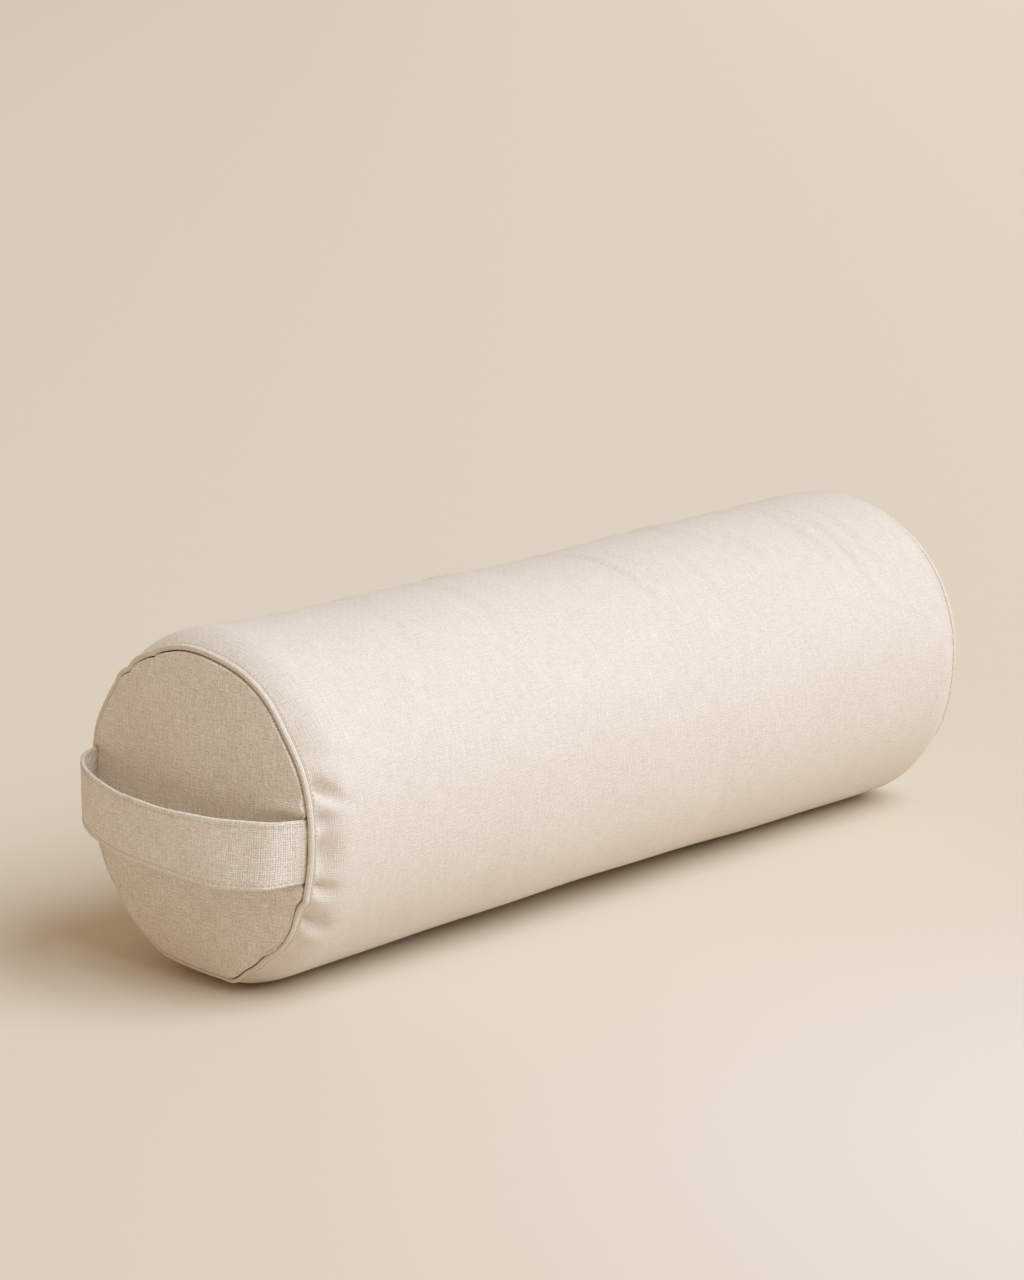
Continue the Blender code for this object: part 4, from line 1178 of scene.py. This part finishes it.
reach = ZIP_HALF_OPENING + HEM_STITCH_END
signs = ((-1, -1), (1, -1), (1, 1), (-1, 1), (-1, -1))
corners = [zip_point(along * reach, down * HEM_STITCH_LINE, HEM_HEIGHT) for along, down in signs]
zip_rows = []
for near, far in zip(corners, corners[1:]):
    path = np.linspace(near, far, HEM_POINTS)
    up = np.repeat([tuple(ZIP_OUT)], HEM_POINTS, axis=0)
    zip_rows.append(stitches(path, up, STITCH_PITCH, STITCH_LENGTH, THREAD_THICKNESS))
zip_stitches = stitch_piece("zip_topstitching", zip_rows)
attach(zip_stitches, "cushion")

# %% [markdown]
# ## The zip
# A nylon coil zip has two woven tapes. A monofilament is wound into a long flat coil and sewn along
# each of them, and the turns of one coil fit between those of the other. The coils are modelled turn by
# turn, at a real pitch, reaching just past the middle line. The slider, its pull and the two stops stay
# as their solids, with their edges rounded a little further. Behind a real slider the chain parts;
# here it stays closed along its whole length, as in the frame.

# %% Weave the tapes and wind the coils
TAPE_TOP = -0.0015  # heights above the zip's flat
TAPE_THICKNESS = 0.0005
TAPE_INNER, TAPE_OUTER = 0.0015, 0.016
TAPE_HALF_LENGTH = 0.260
TAPE_ROWS, TAPE_COLUMNS = 260, 15
TAPE_RIPPLE = 0.00008
RIPPLE_FROM, RIPPLE_FULLY = 0.003, 0.010  # from the zip's middle
COIL_PITCH = 0.0015
COIL_HALF_LENGTH = 0.2420
COIL_OUTER = 0.0033
COIL_REACH = 0.00035  # past the middle line
COIL_THREAD = 0.00030  # radius
COIL_BOTTOM, COIL_TOP = -0.0012, 0.0006
POINTS_A_TURN, COIL_SIDES = 12, 6

zip_origin = np.array(zip_point(0.0, 0.0, 0.0))
zip_axes = np.array([(1.0, 0.0, 0.0), tuple(ZIP_DOWN), tuple(ZIP_OUT)])


def zip_points(along, down, out):
    """Like zip_point, for arrays."""
    return zip_origin + np.stack(np.broadcast_arrays(along, down, out), axis=-1) @ zip_axes


turns = np.arange(-COIL_HALF_LENGTH / COIL_PITCH, COIL_HALF_LENGTH / COIL_PITCH, 1 / POINTS_A_TURN)
for side, name in ((-1, "upper"), (1, "lower")):
    across = side * np.linspace(TAPE_INNER, TAPE_OUTER, TAPE_COLUMNS)
    along = np.linspace(-TAPE_HALF_LENGTH, TAPE_HALF_LENGTH, TAPE_ROWS)
    ripple = np.sin(190 * along)[:, None] * smooth(np.abs(across), RIPPLE_FROM, RIPPLE_FULLY)
    points = zip_points(along[:, None], across[None], TAPE_TOP + TAPE_RIPPLE * ripple)
    tape = cloth_piece(f"zip_tape_{name}_woven", points, TAPE, around=False, turned=side > 0)
    thicken(tape, TAPE_THICKNESS)
    settle(tape, "cushion", "zip_tape", f"zip_tape_{name}")

    phase = 2 * math.pi * turns
    half_width = (COIL_OUTER + COIL_REACH) / 2 - COIL_THREAD
    half_height = (COIL_TOP - COIL_BOTTOM) / 2 - COIL_THREAD
    middle = side * (COIL_OUTER - COIL_REACH) / 2
    across = middle + half_width * np.cos(phase)
    height = (COIL_TOP + COIL_BOTTOM) / 2 + half_height * np.sin(phase)
    path = zip_points(turns * COIL_PITCH, across, height)
    rings = tube_points(path, COIL_THREAD, COIL_SIDES, (1.0, 0.0, 0.0))
    ends = [tuple(path[number]) for number in (0, -1)]
    coil = cloth_piece(f"zip_coil_{name}_wound", rings, NYLON, poles=ends)
    settle(coil, "cushion", "zip_coil", f"zip_coil_{name}")

# %% Finish the zip's metal
METAL_EDGE = 0.00022
for name in ("zip_slider", "zip_pull", "zip_top_stop", "zip_bottom_stop"):
    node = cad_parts[name]
    node.data.materials.clear()
    node.data.materials.append(NICKEL)
    bevel = node.modifiers.new("tumbled edges", "BEVEL")
    bevel.width = METAL_EDGE
    bevel.segments = 3
    bevel.limit_method = "ANGLE"
    bevel.angle_limit = math.radians(40)
    print(name, "has", len(node.data.polygons), "faces before its edges are rounded")

# %% [markdown]
# ## The inner bag and its stuffing
# Nothing of these shows while the zip is shut. The bag is cotton sheeting, a tube with two discs sewn
# in, and the stuffing takes its shape from the bag. Both follow the cover's wrinkles at their own
# depth, because in a firm cushion it is the stuffing that shapes all the cloths at once. Behind
# the seam allowances the bag steps in, and its discs lie behind the end panels.

# %% Sew the inner bag and stuff it
LINER_THICKNESS = 0.0006
LINER_DEPTH = 0.0016
SHOULDER_DEPTH = 0.0024  # where the cloth slopes and wrinkles, and so takes more room
ZIP_SINK = 0.0037
STEP_START, STEP_END = 0.0102, 0.0135  # distances from the seam between which the bag steps out
BAG_SHOULDER = np.append(np.linspace(STEP_END, 0.034, 12), (0.038, 0.044))  # its rows, from the seam
EASE_FROM, EASE_FULLY = 0.024, 0.044  # where the bag comes up to its full width, from the seam
FOLLOWS_FROM = 0.010  # distance from the seam past which it follows the cover's wrinkles
BAG_RINGS, BAG_MIDDLE_ROWS, BAG_COLUMNS = 22, 90, 150
FILL_LUMPS = 0.0006
bag_angles = circle(BAG_COLUMNS)


def neck_inset(end, deeper):
    """Inset of the bag behind the seam allowances."""
    inset = roll_inset(bag_angles, end)[1] - ROLL_ROUND + CANVAS_THICKNESS + GAP
    return inset + deeper + allowance_sink(bag_angles, end)


def bag_side(deeper, start):
    """Rows of the bag's side, set this much deeper, from a neck that starts this far in to the other."""
    xs, insets = [], []
    for end in (FRONT, REAR):
        edge, edge_inset = barrel_edge(bag_angles, end)[:2]
        out = BAG_SHOULDER[:, None] + deeper / 2
        ease = SHOULDER_DEPTH + (LINER_DEPTH - SHOULDER_DEPTH) * smooth(out, EASE_FROM, EASE_FULLY)
        side = shoulder_inset(out, edge_inset, edge) + ease + deeper
        neck = neck_inset(end, deeper)[None]
        distances = np.concatenate([[[start]], [[STEP_START + deeper]], out])
        xs.append(end * (LENGTH / 2 - distances) + 0 * bag_angles)
        insets.append(np.concatenate([neck, neck, side]))
    middle = np.linspace(xs[0][-1, 0], xs[1][-1, 0], BAG_MIDDLE_ROWS + 2)[1:-1, None] + 0 * bag_angles
    x = np.concatenate([xs[0], middle, xs[1][::-1]])
    inset = np.concatenate([insets[0], 0 * middle + LINER_DEPTH + deeper, insets[1][::-1]])
    relief = barrel_relief(bag_angles, x) * inward(x, FOLLOWS_FROM, STEP_END)
    radius = round_radius(bag_angles, inset) + relief
    radius = flattened(radius, bag_angles, LINER_DEPTH + deeper, ZIP_SINK + deeper)
    return placed(x, radius, bag_angles)


def bag_end(end, inset_deeper, depth):
    """Rings of the bag's end, this far behind the panel, its edge's radius and its tip."""
    edge = round_radius(bag_angles, neck_inset(end, inset_deeper))
    radius = edge * ring_shares(BAG_RINGS)
    out = dome(bag_angles, radius, end) - depth
    return placed(end * (LENGTH / 2 + out), radius, bag_angles), edge, tip_of(end, depth)


tube = cloth_piece("inner_bag_tube", bag_side(0.0, CANVAS_THICKNESS), SHEETING)
thicken(tube, LINER_THICKNESS)
settle(tube, "cushion", "liner_cotton", "liner_tube")

deeper = LINER_THICKNESS + GAP
disc_depth = LINER_DEPTH + 2 * GAP
for end, name in ENDS:
    rings, edge, tip = bag_end(end, deeper, disc_depth)
    turned_in = placed(end * (LENGTH / 2 - SEAM_ALLOWANCE), edge, bag_angles)[None]
    points = np.concatenate([rings, turned_in])
    disc = cloth_piece(
        f"inner_bag_{name}_disc", points, SHEETING, turned=end == REAR, poles=[tip], flat=(1, 2)
    )
    thicken(disc, LINER_THICKNESS)
    settle(disc, "cushion", "liner_cotton", f"liner_{name}_disc")

deeper = 2 * deeper
front, _, front_tip = bag_end(FRONT, deeper, disc_depth + deeper / 2 + GAP)
rear, _, rear_tip = bag_end(REAR, deeper, disc_depth + deeper / 2 + GAP)
side = bag_side(deeper, STEP_START + deeper / 2)
points = np.concatenate([front, side[1:-1], rear[::-1]])
from_axis = (points - (0.0, 0.0, AXIS_HEIGHT)) * (0.0, 1.0, 1.0)
lumps = np.sin(points @ (61, 83, 37)) * np.sin(points @ (-47, 59, 71) + 1)
points = points - from_axis * ((1 + lumps) * FILL_LUMPS / 2 / HALF_WIDTH)[..., None]
stuffing = cloth_piece("stuffing", points, STUFFING, poles=[front_tip, rear_tip])
settle(stuffing, "cushion", "fill_fibre", "fill_core")

# %% [markdown]
# ## Floor and light
# The photograph shows a plain warm floor that runs out of the picture, one broad soft source high on the
# camera's right, and a little light from all round. A very large matt disc gives the floor, and its
# colour holds a painted pool of light below the lamp and painted shade on the side away from it. The
# horizon lies above the picture. A sun with a wide angle gives the soft shadow at the end that faces away
# from it, and a plain warm world fills the rest in.

# %% Lay the floor
FLOOR_RADIUS, FLOOR_SIDES = 30.0, 64
# The floor's colour holds a painted pool of light round this middle, and painted shade that darkens it away
# from the bright side
POOL_MIDDLE = (-0.12, -0.72, 0.0)  # on the floor, below the light
POOL_REACH = 0.72
WIDE_REACH = 2.6  # of the slow change from the dim side to the bright one
BRIGHT_SIDE = (0.68, -0.73, 0.0)


def floor_matt_with_painted_light(tree, lit, dim, far):
    """A matt painted floor, with a painted pool of light that makes it a little paler below the lamp and
    painted shade that darkens it on the side away from it.
    """
    place = add(tree, "ShaderNodeTexCoord").outputs["Object"]
    from_pool = add(tree, "ShaderNodeVectorMath", {0: place, 1: POOL_MIDDLE}, operation="DISTANCE")
    inputs = {"Value": from_pool.outputs["Value"], "From Max": POOL_REACH, "To Min": 1.0, "To Max": 0.0}
    pool = add(tree, "ShaderNodeMapRange", inputs, interpolation_type="SMOOTHSTEP").outputs[0]
    sideways = add(tree, "ShaderNodeVectorMath", {0: place, 1: BRIGHT_SIDE}, operation="DOT_PRODUCT")
    inputs = {"Value": sideways.outputs["Value"], "From Min": -WIDE_REACH, "From Max": WIDE_REACH}
    wide = add(tree, "ShaderNodeMapRange", inputs, interpolation_type="SMOOTHSTEP").outputs[0]
    spread = add(tree, "ShaderNodeMix", {0: wide, 6: linear(dim), 7: linear(far)}, data_type="RGBA")
    colour = add(tree, "ShaderNodeMix", {0: pool, 6: spread.outputs[2], 7: linear(lit)}, data_type="RGBA")
    return {"Base Color": colour.outputs[2], "Roughness": 0.9}


around = circle(FLOOR_SIDES)
rim = np.stack([FLOOR_RADIUS * np.cos(around), FLOOR_RADIUS * np.sin(around), 0 * around], axis=1)
floor_mesh = bpy.data.meshes.new("floor")
floor_mesh.from_pydata(rim.tolist(), [], [list(range(len(rim)))])
# The three colours are the painted pool of light, the painted shade on the side away from the lamp, and the
# paler side towards it
floor_colours_with_painted_light = new_material("floor_matt_with_painted_light", floor_matt_with_painted_light, "F5ECE3", "DACDB9", "EDE0CE")
floor_mesh.materials.append(floor_colours_with_painted_light)
floor = bpy.data.objects.new("floor", floor_mesh)
bpy.context.scene.collection.objects.link(floor)
print("floor radius in m:", FLOOR_RADIUS)

# %% Light it
LIGHT_TURN = math.radians(-70)  # from +X towards +Y: on the camera's right
LIGHT_RISE = math.radians(48)
LIGHT_SPREAD = math.radians(50)  # how wide the light looks from the cushion
LIGHT_STRENGTH = 2.84
ROOM_STRENGTH = 0.46

level = math.cos(LIGHT_RISE)
to_light = Vector((math.cos(LIGHT_TURN) * level, math.sin(LIGHT_TURN) * level, math.sin(LIGHT_RISE)))
sun_data = bpy.data.lights.new("window_light", "SUN")
sun_data.energy = LIGHT_STRENGTH
sun_data.angle = LIGHT_SPREAD
sun_data.color = linear("DCECFF")[:3]
sun = bpy.data.objects.new("window_light", sun_data)
sun.rotation_euler = to_light.to_track_quat("Z", "Y").to_euler()
bpy.context.scene.collection.objects.link(sun)
world = bpy.data.worlds.new("warm_room")
world.use_nodes = True
background = world.node_tree.nodes["Background"]
background.inputs["Color"].default_value = linear("FFE8C9")
background.inputs["Strength"].default_value = ROOM_STRENGTH
bpy.context.scene.world = world
bpy.context.scene.view_settings.view_transform = "Standard"
print("light from", [round(v, 2) for v in to_light])
